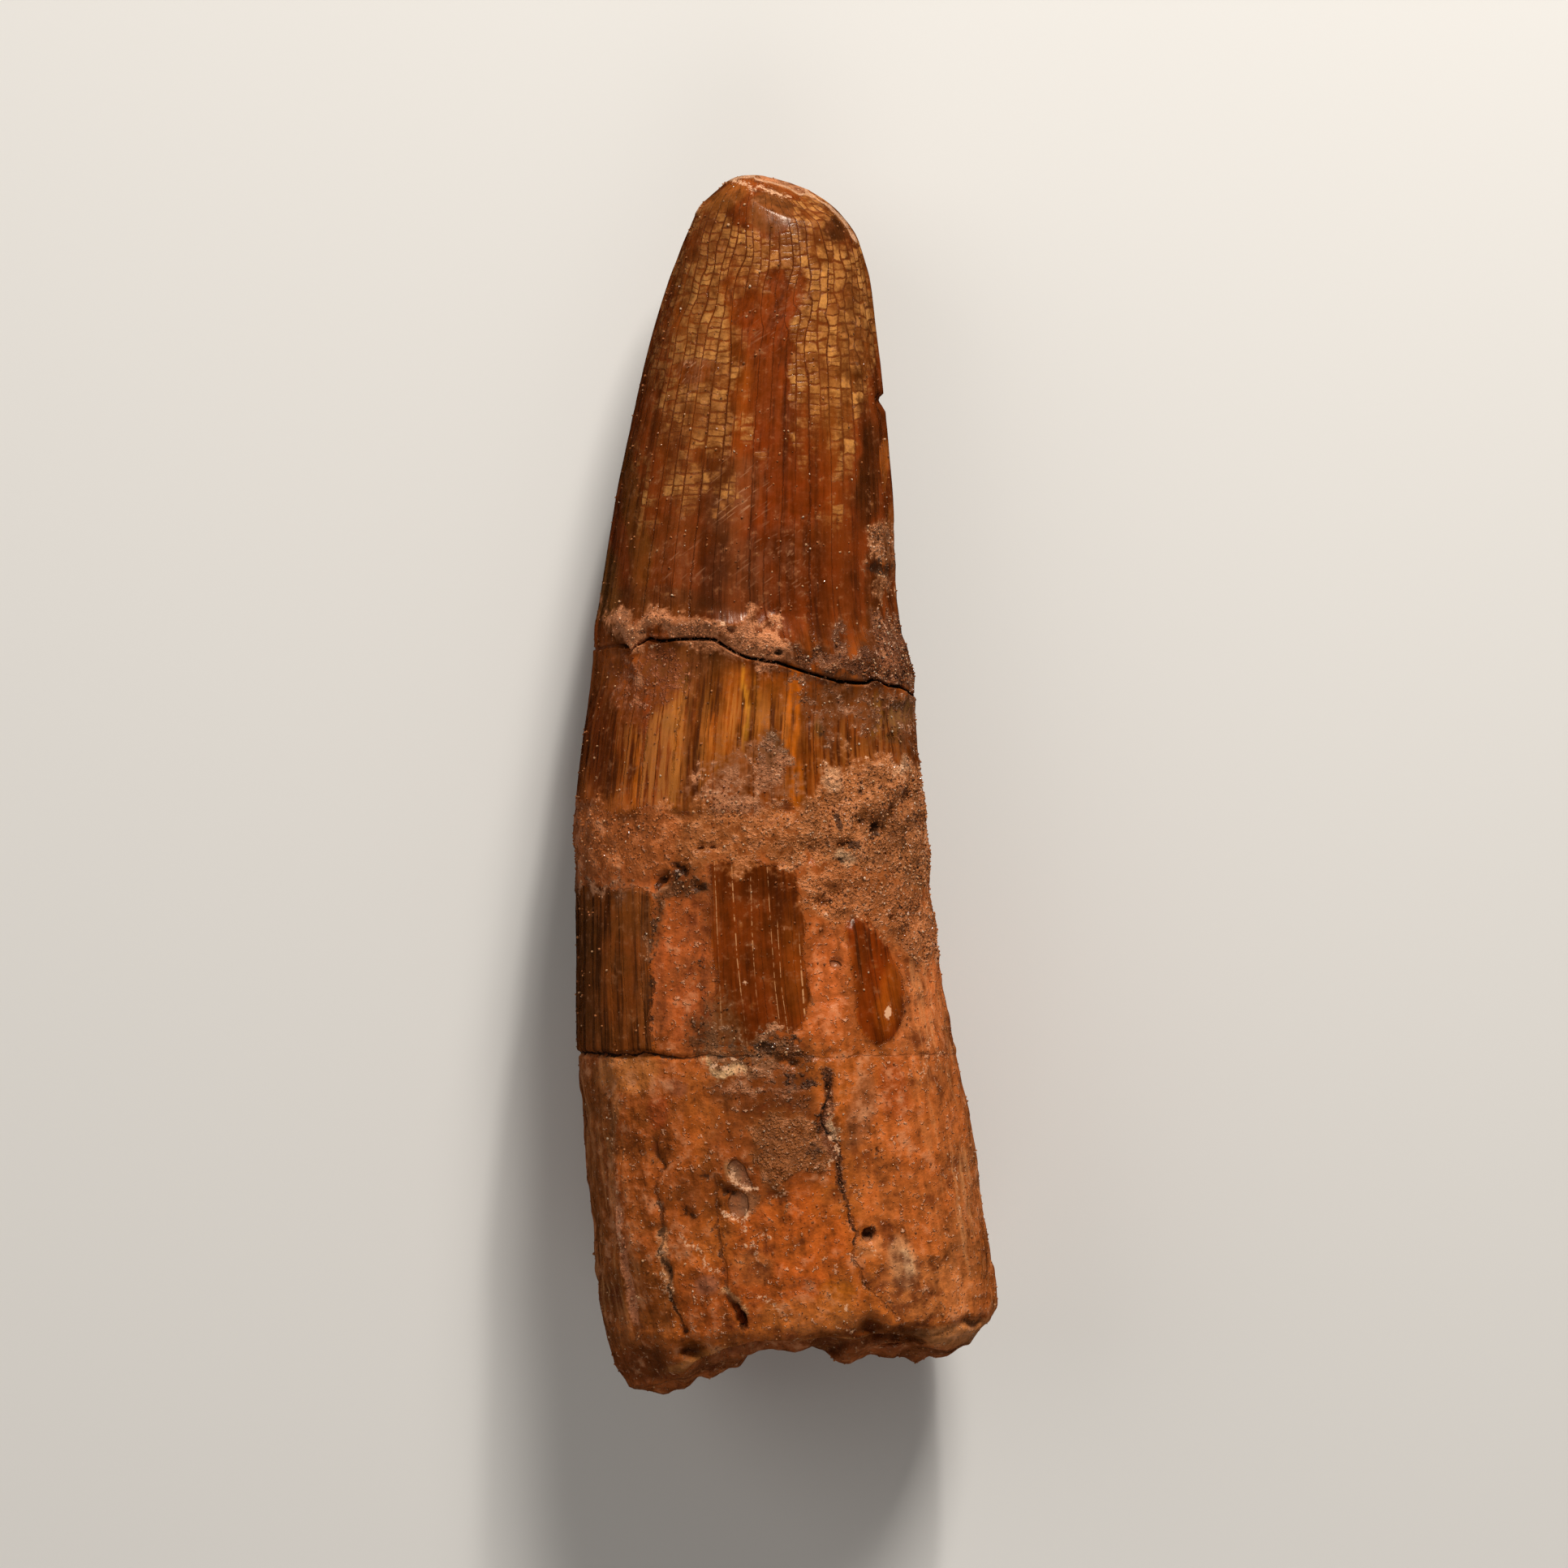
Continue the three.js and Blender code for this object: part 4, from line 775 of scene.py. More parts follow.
def relief(skin):
    """How far each point stands out from the plain form."""
    u, v, y, up, spot, rough = skin.u, skin.v, skin.y, skin.up, skin.spot, skin.rough
    bare = fade(skin.enamel, 0, 0.3)

    # Flutes and the cutting edges along the crown.
    on_crown = smooth(y, CROWN_START - 6, CROWN_START + 8)
    not_worn = fade(y, 82, 87)
    ridge = np.abs(np.sin(math.pi * skin.around)) - 0.6
    rise = FLUTE_RISE * ridge * on_crown * not_worn * (0.7 + 0.5 * noise(spot, 4.0, 10))
    rise += PANEL_FLUTE_RISE * ridge * smooth(skin.enamel, 0, 0.3) * (1 - on_crown)
    rise += CARINA_RISE * (fade(np.abs(up), 0, 0.075) * smooth(y, 48, 54)) * not_worn

    # Lumps, pores and flakes of the dentine, which the enamel only faintly shows, and the enamel's own edge.
    rise += mix(0.06, 0.2, bare) * noise(spot, 6.5, 11) + mix(0.03, 0.16, bare) * noise(spot, 2.3, 12)
    pores = bare * 0.16 * smooth(noise(spot, 0.8, 31), 0.35, 0.75)
    rise += mix(0.012, 0.09, bare) * noise(spot, 0.9, 13) - pores
    rise += PANEL_RISE * smooth(skin.panel, -0.1, 0.1) + CROWN_RISE * (smooth(skin.crown, -0.1, 0.2) - 0.5)
    flaking = FLAKE_RISE[0] * smooth(noise(spot * (1, 0.5, 1), 3.2, 41), -0.05, 0.05)
    flaking += FLAKE_RISE[1] * smooth(noise(spot * (1, 0.4, 1), 1.5, 42), -0.1, 0.1)
    rise += bare * mix(0.4, 1.0, fade(v, 22, 26)) * (flaking - 0.1)
    for outline, depth in CHIPS:
        rise -= depth * smooth(inside(u, v, outline), -0.15, 0.2)
    rise += 0.03 * noise(spot, 1.1, 14) * smooth(skin.panel, 0, 0.3)

    # Crusts: lumps of cemented grains with holes between them, coarsest on the right of the band.
    grains = 0.22 * noise(spot, 1.6, 35) + 0.13 * noise(spot, 0.95, 15) + 0.07 * noise(spot, 0.5, 16)
    grains -= 0.3 * smooth(noise(spot, 1.3, 37), 0.4, 0.7)
    crust = smooth(skin.sand + 0.45 * noise(spot, 1.2, 17), 0.3, 0.8)
    coarse = np.where((v > 48) | (v < 22), 1.2, mix(0.45, 1.5, smooth(skin.ragged[0], -2, 3)))
    rise += crust * coarse * (0.04 + grains) * mix(0.45, 1.0, smooth(np.abs(up), 0.15, 0.5))
    for centre, size, height, *tilt in HOLLOWS:
        rise += height * blob(*rough, centre, size, (0.4, 1.2), *tilt)

    # Cracks, then the two fractures: the upper one gapes, and the lower one is open at its left end alone.
    for side, opened in zip(np.moveaxis(skin.cracks, -1, 0), np.moveaxis(skin.open, -1, 0)):
        rise -= (CRACK_DEPTH + 0.2 * noise(spot, 1.5, 32)) * opened * fade(np.abs(side), 0.0, 0.4)
    rise -= SIDE_CRACK_DEPTH * fade(distance(*rough, SIDE_CRACK), 0.0, 0.4)
    upper_depth = mix(*UPPER_DEPTH, smooth(skin.across, -0.95, -0.75)) * np.where(up > -0.2, 1.0, 0.6)
    upper_depth = upper_depth * mix(1, 0.3, smooth(skin.across, 0.88, 0.97))
    gap = 0.07 + 0.05 * noise(spot, 2.0, 18) + 0.03 * noise(spot, 0.7, 19)
    rise -= upper_depth * fade(np.abs(skin.to_upper), gap * 0.5, gap + 0.12)
    rise -= 0.12 * smooth(skin.to_upper, 0.0, 0.3) * fade(skin.to_upper, 0.4, 2.0)
    lower_depth = mix(*LOWER_DEPTH, smooth(u, -9.0, -2.0)) * (0.75 + 0.5 * noise(spot, 1.6, 20))
    return rise - lower_depth * fade(np.abs(skin.to_lower), 0.05, 0.3)


# ---- The break ----
def break_y(x, z, up, reach):
    """The broken end's y: its ragged rim, its lips, the pulp hollow and lumps. `reach` is 0 in its middle."""
    lip = np.where(up > 0, FACE_LIP * mix(up, smooth(up, 0.8, 1.0), 0.4), BACK_LIP * up * up)
    (px, pz), (sx, sz), deep = PULP_HOLLOW
    hollow = deep * fade(np.hypot((x - px) / sx, (z - pz) / sz), 0.6, 1.3)
    spot = np.stack([x, np.zeros_like(x), z], axis=-1)
    lump = 0.7 * noise(spot, 4.6, 1) + 0.4 * noise(spot, 1.9, 2) + 0.18 * noise(spot, 0.8, 3)
    return profile(BREAK_EDGE, x) + lip + hollow + lump * smooth(1 - reach, 0, 0.3)


def lip_hollow(x, y, z):
    """How deep the hollows in the face's lip are."""
    u, v = seen(x, y, z)
    u = u + 0.6 * noise(np.stack([x, y, z], axis=-1), 1.6, 43)
    v = v + 0.4 * noise(np.stack([x, y, z], axis=-1), 1.2, 44)
    return smooth(z, 11, 15) * strongest(LIP_HOLLOWS, (u, v), (0.2, 1.3))


def paint_shade_in_lip(wash, hollow):
    """Paints shade into the ground colour in the lip's hollows."""
    return mix(wash, linear(LIP_PAINTED_SHADE), 0.65 * smooth(hollow, 0.1, 1.5)[..., None])


def broken_end(skin):
    """Points of the rings across the break, from its middle out to just inside its rim."""
    reach = np.arange(1, BREAK_RINGS)[:, None] / BREAK_RINGS
    left, right, _, middle_z, _ = (part[0] for part in sections(np.array([0.0])))
    rim_x, rim_y, rim_z = skin.x[:1], skin.y[:1], skin.z[:1] + skin.dip[:1]
    x = mix((left[0] + right[0]) / 2, rim_x, reach)
    z = mix(middle_z, rim_z, reach)
    y = break_y(x, z, skin.up[:1] * reach, reach + np.zeros_like(x))
    y = y + (rim_y - break_y(rim_x, rim_z, skin.up[:1], np.ones_like(rim_x))) * smooth(reach, 0.55, 1.0)
    return np.stack([x, y, z - lip_hollow(x, y, z)], axis=-1)


def tooth_wall():
    """The skin's rings from the rim of the break to the tip, with every field of its finish."""
    skin = plain_form()
    add_layers(skin)
    add_colours(skin)

    half_wide = ((skin.right[:, 0] - skin.left[:, 0]) / 2)[:, None]
    half_thick = skin.half_thick[:, None]
    out_x, out_z = skin.across * half_thick, skin.up * half_wide
    length = np.hypot(out_x, out_z)
    rise = relief(skin) * smooth(half_thick, 0, 1)
    skin.x = skin.x + rise * out_x / length
    skin.z = skin.z + rise * out_z / length

    rim = break_y(skin.x, skin.z, skin.up, np.ones_like(skin.x)) - ring_y(0.0, skin.share)
    skin.y = skin.y + rim * fade(skin.along[:, None], 0, RIM_REACH)
    skin.dip = lip_hollow(skin.x, skin.y, skin.z)
    skin.wash = paint_shade_in_lip(skin.wash, skin.dip)
    skin.z = skin.z - skin.dip
    return skin


# ---- Meshes ----
def tooth_points(skin):
    """Points of the whole skin, from the middle of the break to the tip, and every field of its finish."""
    broken = broken_end(skin)
    wall = np.stack([skin.x, skin.y, skin.z], axis=-1)
    middle = broken[0].mean(axis=0)[None]
    apex_edge, _, _, apex_z = STATIONS[-1]
    apex = shave(np.array([[*apex_edge, apex_z]]), *TIP_FACET)
    points = np.concatenate([middle, broken.reshape(-1, 3), wall.reshape(-1, 3), apex])
    points[:, 2] = np.maximum(points[:, 2], 0)

    # The break is bare dentine, with sand packed in the pulp cavity and shade painted in the lip's hollows.
    spot = points[: 1 + broken.size // 3]
    (px, pz), (sx, sz), _ = PULP_HOLLOW
    pulp = np.hypot((spot[:, 0] - px) / sx, (spot[:, 2] - pz) / sz)
    pulp = fade(pulp + 0.2 * noise(spot, 1.6, 21), 0.7, 1.0)
    bare = mix(*map(linear, BREAK_COLOURS), (0.5 + 0.5 * noise(spot, 3.0, 22))[:, None])
    bare = mix(bare, linear(PULP_COLOUR), pulp[:, None])
    zero = np.zeros(len(spot))
    far = zero + 9
    on_break = {
        "enamel": zero - 3, "sand": 0.8 * pulp, "tiles": zero,
        "stain": 0.4 * pulp, "pale": zero, "stripy": zero,
        "to_upper": -far, "to_lower": -far, "chips": -far,
        "around": zero, "v": spot[:, 1], "scratched": zero,
        "across": spot[:, 0] / HALF_WIDE, "up": spot[:, 2] / HALF_THICK,
        "cracks": np.stack([far] * 3, axis=-1), "open": np.stack([zero] * 3, axis=-1),
        "wash": paint_shade_in_lip(bare, lip_hollow(*spot.T)), "sand_wash": zero[:, None] + linear(PULP_SAND_COLOUR),
    }

    def field(*names):
        columns = []
        for name in names:
            shown = vars(skin)[name]
            shown = shown.reshape((-1,) + shown.shape[2:])
            columns.append(np.concatenate([on_break[name], shown, shown[-1:]]))
        return columns[0] if len(names) == 1 else np.stack(columns, axis=-1)

    # The fibre runs up the tooth, without crowding together at the tip.
    near_tip = smooth(points[:, 1], 74, 85)[:, None]
    up_the_tooth = np.stack([HALF_WIDE * field("across"), points[:, 1], HALF_THICK * field("up")], axis=-1)
    fields = {name: field(name) for name in ("cracks", "open", "wash", "sand_wash")}
    fields["skin"] = field("enamel", "sand", "tiles")
    fields["marks"] = field("stain", "pale", "stripy")
    fields["rifts"] = field("to_upper", "to_lower", "chips")
    fields["flutes"] = field("around", "v", "scratched")
    fields["fibre"] = mix(up_the_tooth, points - (0, 0, 8), near_tip)
    return points, fields


def tooth_faces():
    """Quads between the rings, and the triangles that close the break's middle and the tip."""
    sides = FACE_SIDES + BACK_SIDES
    rings = BREAK_RINGS - 1 + WALL_RINGS
    k = np.arange(sides)
    after = (k + 1) % sides
    start = 1 + np.arange(rings - 1)[:, None] * sides
    quads = np.stack([start + k, start + after, start + sides + after, start + sides + k], axis=-1)
    last = 1 + (rings - 1) * sides
    fan = np.stack([0 * k, 1 + after, 1 + k], axis=-1)
    cap = np.stack([last + k, last + after, 0 * k + last + sides], axis=-1)
    return quads.reshape(-1, 4), np.concatenate([fan, cap])


def make_mesh(name, points, faces, fields, material):
    """A mesh from points in millimetres, with a field of the finish on each of them."""
    mesh = bpy.data.meshes.new(name)
    mesh.from_pydata((points * MM).tolist(), [], [face.tolist() for group in faces for face in group])
    for field_name, values in fields.items():
        if field_name.endswith("wash"):
            layer = mesh.attributes.new(field_name, "FLOAT_COLOR", "POINT")
            values = np.concatenate([values, np.ones((len(values), 1))], axis=1)
            layer.data.foreach_set("color", values.astype(np.float32).ravel())
        else:
            layer = mesh.attributes.new(field_name, "FLOAT_VECTOR", "POINT")
            layer.data.foreach_set("vector", values.astype(np.float32).ravel())
    mesh.materials.append(material)
    piece = bpy.data.objects.new(name, mesh)
    bpy.context.scene.collection.objects.link(piece)
    return piece


# ---- Materials ----
def fossil_tooth_material():
    """Fossil enamel and dentine, stained by iron and worn by blown sand, with crusts of the sand it lay in.

    The enamel is still glassy, the dentine has a satin, waxy face, and the sand is matt with glinting grains.
    """
    material = bpy.data.materials.new("fossil_tooth")
    material.use_nodes = True
    tree = material.node_tree
    tree.nodes.clear()

    def add(kind, values, out=0, **settings):
        """Adds a node. A value that is a socket is linked, any other is set. Returns one or more outputs."""
        made = tree.nodes.new("ShaderNode" + kind)
        for name, value in settings.items():
            setattr(made, name, value)
        for key, value in values.items():
            if isinstance(value, bpy.types.NodeSocket):
                tree.links.new(value, made.inputs[key])
            else:
                made.inputs[key].default_value = value
        return made.outputs[out] if made.outputs else None

    def total(terms):
        """The sum of plain numbers and (socket, weight) pairs."""
        made = 0.0
        for term in terms:
            socket, weight = term if isinstance(term, tuple) else (term, 1.0)
            made = add("Math", {0: socket, 1: float(weight), 2: made}, operation="MULTIPLY_ADD")
        return made

    def where(start, end, *terms, low=0.0, high=1.0):
        """`low` where the terms add up to `start` or less, `high` from `end` on, easing between them."""
        limits = {"From Min": start, "From Max": end, "To Min": low, "To Max": high}
        if start > end:
            limits = {"From Min": end, "From Max": start, "To Min": high, "To Max": low}
        return add("MapRange", {"Value": total(terms), **limits}, interpolation_type="SMOOTHSTEP")

    def both(*masks):
        """The masks multiplied."""
        made = masks[0]
        for mask in masks[1:]:
            made = add("Math", {0: made, 1: mask}, operation="MULTIPLY")
        return made

    def paint(under, top, *masks):
        """Lays the colour `top` over `under` where every mask lets it."""
        top = (*linear(top), 1.0) if isinstance(top, str) else top
        return add("Mix", {0: both(*masks), 6: under, 7: top}, out=2, data_type="RGBA")

    def lit(colour, *terms):
        """A colour made lighter or darker by the sum of the terms."""
        colour = tuple(linear(colour)) if isinstance(colour, str) else colour
        return add("VectorMath", {0: colour, "Scale": total(terms)}, operation="SCALE")

    def off(*terms):
        """How far the terms add up to more or less than 0."""
        return add("Math", {0: total(terms)}, operation="ABSOLUTE")

    def from_middle(turns):
        """How far a count of turns is from the middle of its turn: 0 in the middle, 0.5 at either end."""
        return off(add("Math", {0: turns}, operation="FRACT"), -0.5)

    fields, parted = {}, {}
    for name in ("skin", "marks", "rifts", "flutes", "fibre", "cracks", "open"):
        fields[name] = add("Attribute", {}, out=1, attribute_name=name)
        parted[name] = add("SeparateXYZ", {0: fields[name]}, out=slice(3))
    enamel_in, sand_cover, tile_cover = parted["skin"]
    stained, pale_and_highlit, stripy = parted["marks"]
    off_upper, off_lower, into_chip = parted["rifts"]
    around, seen_v, scratched = parted["flutes"]
    across, fibre = parted["fibre"][0], fields["fibre"]

    # Bumps and streaks, each by how wide it is in millimetres.
    spot = add("VectorMath", {0: add("TexCoord", {}, out="Object"), "Scale": 1 / MM}, operation="SCALE")
    drawn_out = add("VectorMath", {0: fibre, 1: (1.0, 0.09, 1.0)}, operation="MULTIPLY")
    drawn_far = add("VectorMath", {0: fibre, 1: (1.0, 0.03, 1.0)}, operation="MULTIPLY")
    slanting = add("VectorRotate", {"Vector": spot, "Angle": 0.9}, rotation_type="Z_AXIS")
    slanting = add("VectorMath", {0: slanting, 1: (1.0, 0.05, 1.0)}, operation="MULTIPLY")
    broad, mottle, crumb, grain, streak, hair, strand, sway, scratch = (
        add("TexNoise", {"Vector": way, "Scale": 1 / width, "Detail": detail, "Roughness": 0.62})
        for way, width, detail in (
            (spot, 3.2, 3.0), (spot, 0.9, 4.0), (spot, 0.42, 2.0), (spot, 0.18, 2.0),
            (drawn_out, 0.75, 3.0), (drawn_out, 0.26, 2.0), (drawn_far, 0.42, 2.0), (drawn_far, 2.4, 1.0),
            (slanting, 0.2, 1.0),
        )
    )

    wash, sand_wash = (
        add("VectorMath", {0: add("Attribute", {}, attribute_name=name), 1: IRON_STAIN}, operation="MULTIPLY")
        for name in ("wash", "sand_wash")
    )
    redder = add("VectorMath", {0: wash, 1: (1.04, 0.9, 0.78)}, operation="MULTIPLY")
    enamel = where(-0.05, 0.05, enamel_in, (mottle, 0.7), (crumb, 0.9), (grain, 0.5), -1.05)
    film = where(0.1, 0.6, sand_cover, (mottle, 1.3), (crumb, 1.3), -1.3)
    crust = where(0.44, 0.62, sand_cover, (broad, 0.8), (mottle, 1.6), (crumb, 1.1), -1.75)

    # Dentine: waxy and orange, softly clouded, with faint streaks up the tooth, peach clouds and a few pores.
    dentine = paint(wash, redder, where(0.4, 0.6, broad), 0.7)
    dentine = lit(dentine, (broad, 1.5), (mottle, 1.6), (streak, 1.1), (crumb, 0.7), (grain, 0.4), -1.65)
    dentine = paint(dentine, "#c08258", where(0.53, 0.66, (mottle, 0.45), (broad, 0.55)), 0.6)
    dentine = paint(dentine, "#6e2e12", where(0.46, 0.35, (mottle, 0.35), (broad, 0.65)), 0.5)
    dentine = paint(dentine, "#5a2a0e", where(0.44, 0.34, (mottle, 0.5), (streak, 0.5)), 0.35)
    # A few dark pores, partly painted shade where the bump dips.
    dentine = paint(dentine, "#3c1a0a", where(0.33, 0.25, crumb), 0.5)
    # Pale flecks: painted glints, on the small bumps that the same mask raises.
    fleck = where(0.59, 0.68, crumb)
    dentine = paint(dentine, "#d8a07a", fleck, where(0.46, 0.58, grain), 0.7)
    at_sides = both(where(9.5, 13.0, off(across)), where(2.0, 8.0, seen_v))
    dentine = paint(dentine, "#bc8250", where(0.5, 0.64, (streak, 0.7), (hair, 0.3)), at_sides, 0.5)
    dentine = paint(dentine, "#7a523a", where(-0.06, 0.12, into_chip), 0.6)

    # Enamel: glassy and red-brown, clouded, with a fine crack that comes and goes between the flutes.
    flute = total([around, (sway, 2.2), (mottle, 0.16), (crumb, 0.14), -1.25])
    off_middle = from_middle(flute)
    crack_number = add("Math", {0: total([flute, 0.5])}, operation="FLOOR")
    of_crack = add("TexWhiteNoise", {"W": crack_number}, noise_dimensions="1D")
    comes_and_goes = where(0.52, 0.66, (streak, 0.5), (mottle, 0.5), (of_crack, 0.3), -0.02)
    fine_crack = both(where(0.455, 0.49, off_middle), comes_and_goes)
    bend = add("TexNoise", {"Vector": drawn_far, "Scale": 1 / 1.5, "Detail": 1.0})
    ripple = total([(across, 0.95), (bend, 3.0), (streak, 0.5)])
    hairline = both(where(0.065, 0.02, from_middle(ripple)), where(0.4, 0.54, crumb))
    hairline = both(hairline, where(0.42, 0.52, streak))
    glaze = paint(wash, redder, where(0.4, 0.6, broad), 0.7)
    glaze = add("VectorMath", {0: glaze, 1: (0.93, 0.86, 0.5)}, operation="MULTIPLY")
    clouds = ((broad, 1.3), (streak, 1.6), (hair, 0.9), (mottle, 1.1), (sway, 2.0), -2.45)
    glaze = lit(glaze, where(0.25, 1.75, *clouds, low=0.5, high=1.5))
    glaze = paint(glaze, "#3a1606", where(0.45, 0.32, (hair, 0.4), (streak, 0.6)), 0.55)
    glaze = paint(glaze, "#75462c", where(0.4, 0.62, mottle), scratched, 0.45)
    glaze = paint(glaze, "#a87450", where(0.6, 0.7, scratch), where(-0.1, 0.9, scratched), 0.7)

    # Between the fracture and the sand, the enamel is worn through to stripes of tan.
    tan_stripes = both(where(0.49, 0.56, (strand, 0.58), (hair, 0.42)), where(0.4, 0.56, sway, low=0.3))
    tan_stripes = both(tan_stripes, stripy)
    tan_stripes = both(tan_stripes, where(-11.5, -8.0, across, low=0.15), where(4.0, 0.5, across, low=0.35))
    glaze = paint(glaze, lit("#a66226", (streak, 2.0)), tan_stripes, 0.65)
    glaze = paint(glaze, "#3f1a06", where(0.48, 0.39, (strand, 0.55), (hair, 0.45)), stripy, 0.75)

    # Tan tiles: each column between two flutes is cracked across at its own pace.
    column = add("Math", {0: flute}, operation="FLOOR")
    of_column = add("TexWhiteNoise", {"W": column}, out=1, noise_dimensions="1D")
    pace, start = add("SeparateXYZ", {0: of_column}, out=slice(2))
    rows = both(total([seen_v, (mottle, 0.4), (broad, 1.2)]), total([(pace, 0.55), 0.84]))
    rows = total([rows, (start, 17.0)])
    row = add("Math", {0: rows}, operation="FLOOR")
    off_row = from_middle(rows)
    tile_number = add("CombineXYZ", {0: column, 1: row})
    of_tile = add("TexWhiteNoise", {"Vector": tile_number}, out=1, noise_dimensions="3D")
    left_on, tone, split = add("SeparateXYZ", {0: of_tile}, out=slice(3))
    across_seam = both(where(0.4, 0.42, split), where(0.07, 0.02, off_row))
    along_seam = both(where(0.7, 0.72, split), where(0.06, 0.02, off_middle))
    to_edge = add("Math", {0: off_middle, 1: off_row}, operation="MAXIMUM")
    tile = where(0.49, 0.36, to_edge, (split, 0.03), (crumb, 0.24), (grain, 0.1), -0.17)
    tile = both(tile, total([(across_seam, -0.6), 1.0]), total([(along_seam, -0.6), 1.0]))
    kept = where(0.25, 0.95, tile_cover, (left_on, 0.5), (mottle, 1.3), (broad, 0.7), (crumb, 0.3), -1.4)
    tiled = both(tile, kept, enamel, where(0.4, 0.56, (broad, 0.5), (mottle, 0.5), low=0.3))
    tan = paint((*linear("#844510"), 1.0), "#b87b3a", total([(tone, 0.5), (broad, 1.6), -0.55]))
    tan = lit(tan, (mottle, 1.2), (streak, 0.8), (grain, 0.8), -0.4)
    # The tan darkens towards the left flank, partly as painted shade.
    tan = lit(tan, where(3.0, 12.0, around, low=0.7))
    glaze = paint(glaze, "#5c2d0e", kept, enamel, 0.5)
    glaze = paint(glaze, tan, tiled, total([(tone, 0.35), 0.6]))

    # Cracks in the enamel are dark on the crown, and pale on the middle panel of the neck. The panels beside
    # it are streaked dark instead.
    on_neck = where(41.2, 40.8, seen_v)
    off_centre = off(across, 0.6)
    glaze = paint(glaze, "#2a0f05", fine_crack, where(41.0, 42.0, seen_v), where(0.8, 0.2, tiled), 0.45)
    glaze = paint(glaze, "#281206", where(0.5, 0.38, strand), on_neck, where(3.8, 4.8, off_centre), 0.7)
    glaze = paint(glaze, "#c08858", hairline, on_neck, where(4.6, 3.8, off_centre), 0.85)
    chipped = both(where(-0.1, -0.02, enamel_in), where(0.1, 0.02, enamel_in), where(83.5, 85.0, seen_v))

    colour = paint(dentine, glaze, enamel)
    colour = paint(colour, "#d0a07a", chipped, 0.6)

    # Crust: sand grains in iron cement, over a thin film of dust. Real grains are finer than the eye can part
    # here, so light and dark ones are drawn, partly as painted highlights and painted shade.
    dust = lit(sand_wash, (grain, 1.2), (crumb, 0.8), (mottle, 1.4), -0.7)
    colour = paint(colour, dust, film, 0.7)
    sandy = lit(sand_wash, (broad, 2.4), (mottle, 1.8), (crumb, 1.1), (grain, 1.0), -2.1)
    loose = where(0.46, 0.62, (broad, 0.5), (mottle, 0.4), (across, 0.012))
    # Pinkish lumps, partly painted highlights.
    sandy = paint(sandy, "#bd7c52", where(0.52, 0.66, (mottle, 0.6), (broad, 0.4)), 0.6)
    # Light grains, partly painted glints.
    light_grain = where(0.57, 0.67, (crumb, 0.5), (grain, 0.5))
    sandy = paint(sandy, "#e0b08c", light_grain, total([(loose, 0.6), 0.35]))
    # Dark spots, partly painted shade in the holes between the grains.
    sandy = paint(sandy, "#24100a", where(0.43, 0.35, crumb), total([(loose, 0.9), 0.02]))
    colour = paint(colour, sandy, crust)

    # Manganese stains and painted shade in holes, then the dark insides of fractures and cracks, then pale
    # chips and painted highlights.
    stain = where(0.25, 0.75, stained, (crumb, 1.4), (mottle, 1.2), -1.3)
    colour = paint(colour, "#26130a", stain, 0.85)
    # The dark insides of fractures and cracks are partly dark fill and partly painted shade in the gaps.
    beside_upper = off(off_upper, (mottle, 0.3), -0.15)
    beside_lower = off(off_lower, (mottle, 0.7), (crumb, 0.3), -0.5)
    dark = both(where(0.02, -0.08, beside_upper, (crumb, -0.24)), where(-12.1, -11.3, across, low=0.2))
    healed = where(-9.0, 0.0, across, (broad, 10.0), -5.0, low=0.95, high=0.2)
    lower_dark = both(where(-0.03, -0.12, beside_lower, (crumb, -0.3)), healed)
    dark = add("Math", {0: dark, 1: lower_dark}, operation="MAXIMUM")
    for side, opened, (how_dark, faint_v, dark_v) in zip(parted["cracks"], parted["open"], CRACK_DARKNESS):
        crack = where(0.2, 0.04, off(side, (mottle, 0.9), (crumb, 0.6), -0.75))
        broken_up = where(0.4, 0.6, (mottle, 0.6), (crumb, 0.4), low=how_dark**3 / 2, high=how_dark)
        crack = both(crack, opened, broken_up, where(faint_v, dark_v, seen_v, low=0.45))
        dark = add("Math", {0: dark, 1: crack}, operation="MAXIMUM")
    colour = paint(colour, "#170a04", dark)
    # Pale chips and grains, and painted highlights along the edges of chips and flakes.
    pale = where(0.35, 0.7, pale_and_highlit, (grain, 1.6), (crumb, 0.8), -1.2)
    colour = paint(colour, "#d6a27a", pale, 0.85)

    # Gloss: enamel still polished, tiles dulled, dentine satin, sand matt.
    rough, polished, dull = (total([(mottle, 0.4), least]) for least in (0.12, 0.08, 0.18))
    for part, roughness in ((enamel, polished), (tiled, dull), (crust, 0.5), (dark, 0.9)):
        rough = add("Mix", {0: part, 2: rough, 3: roughness})

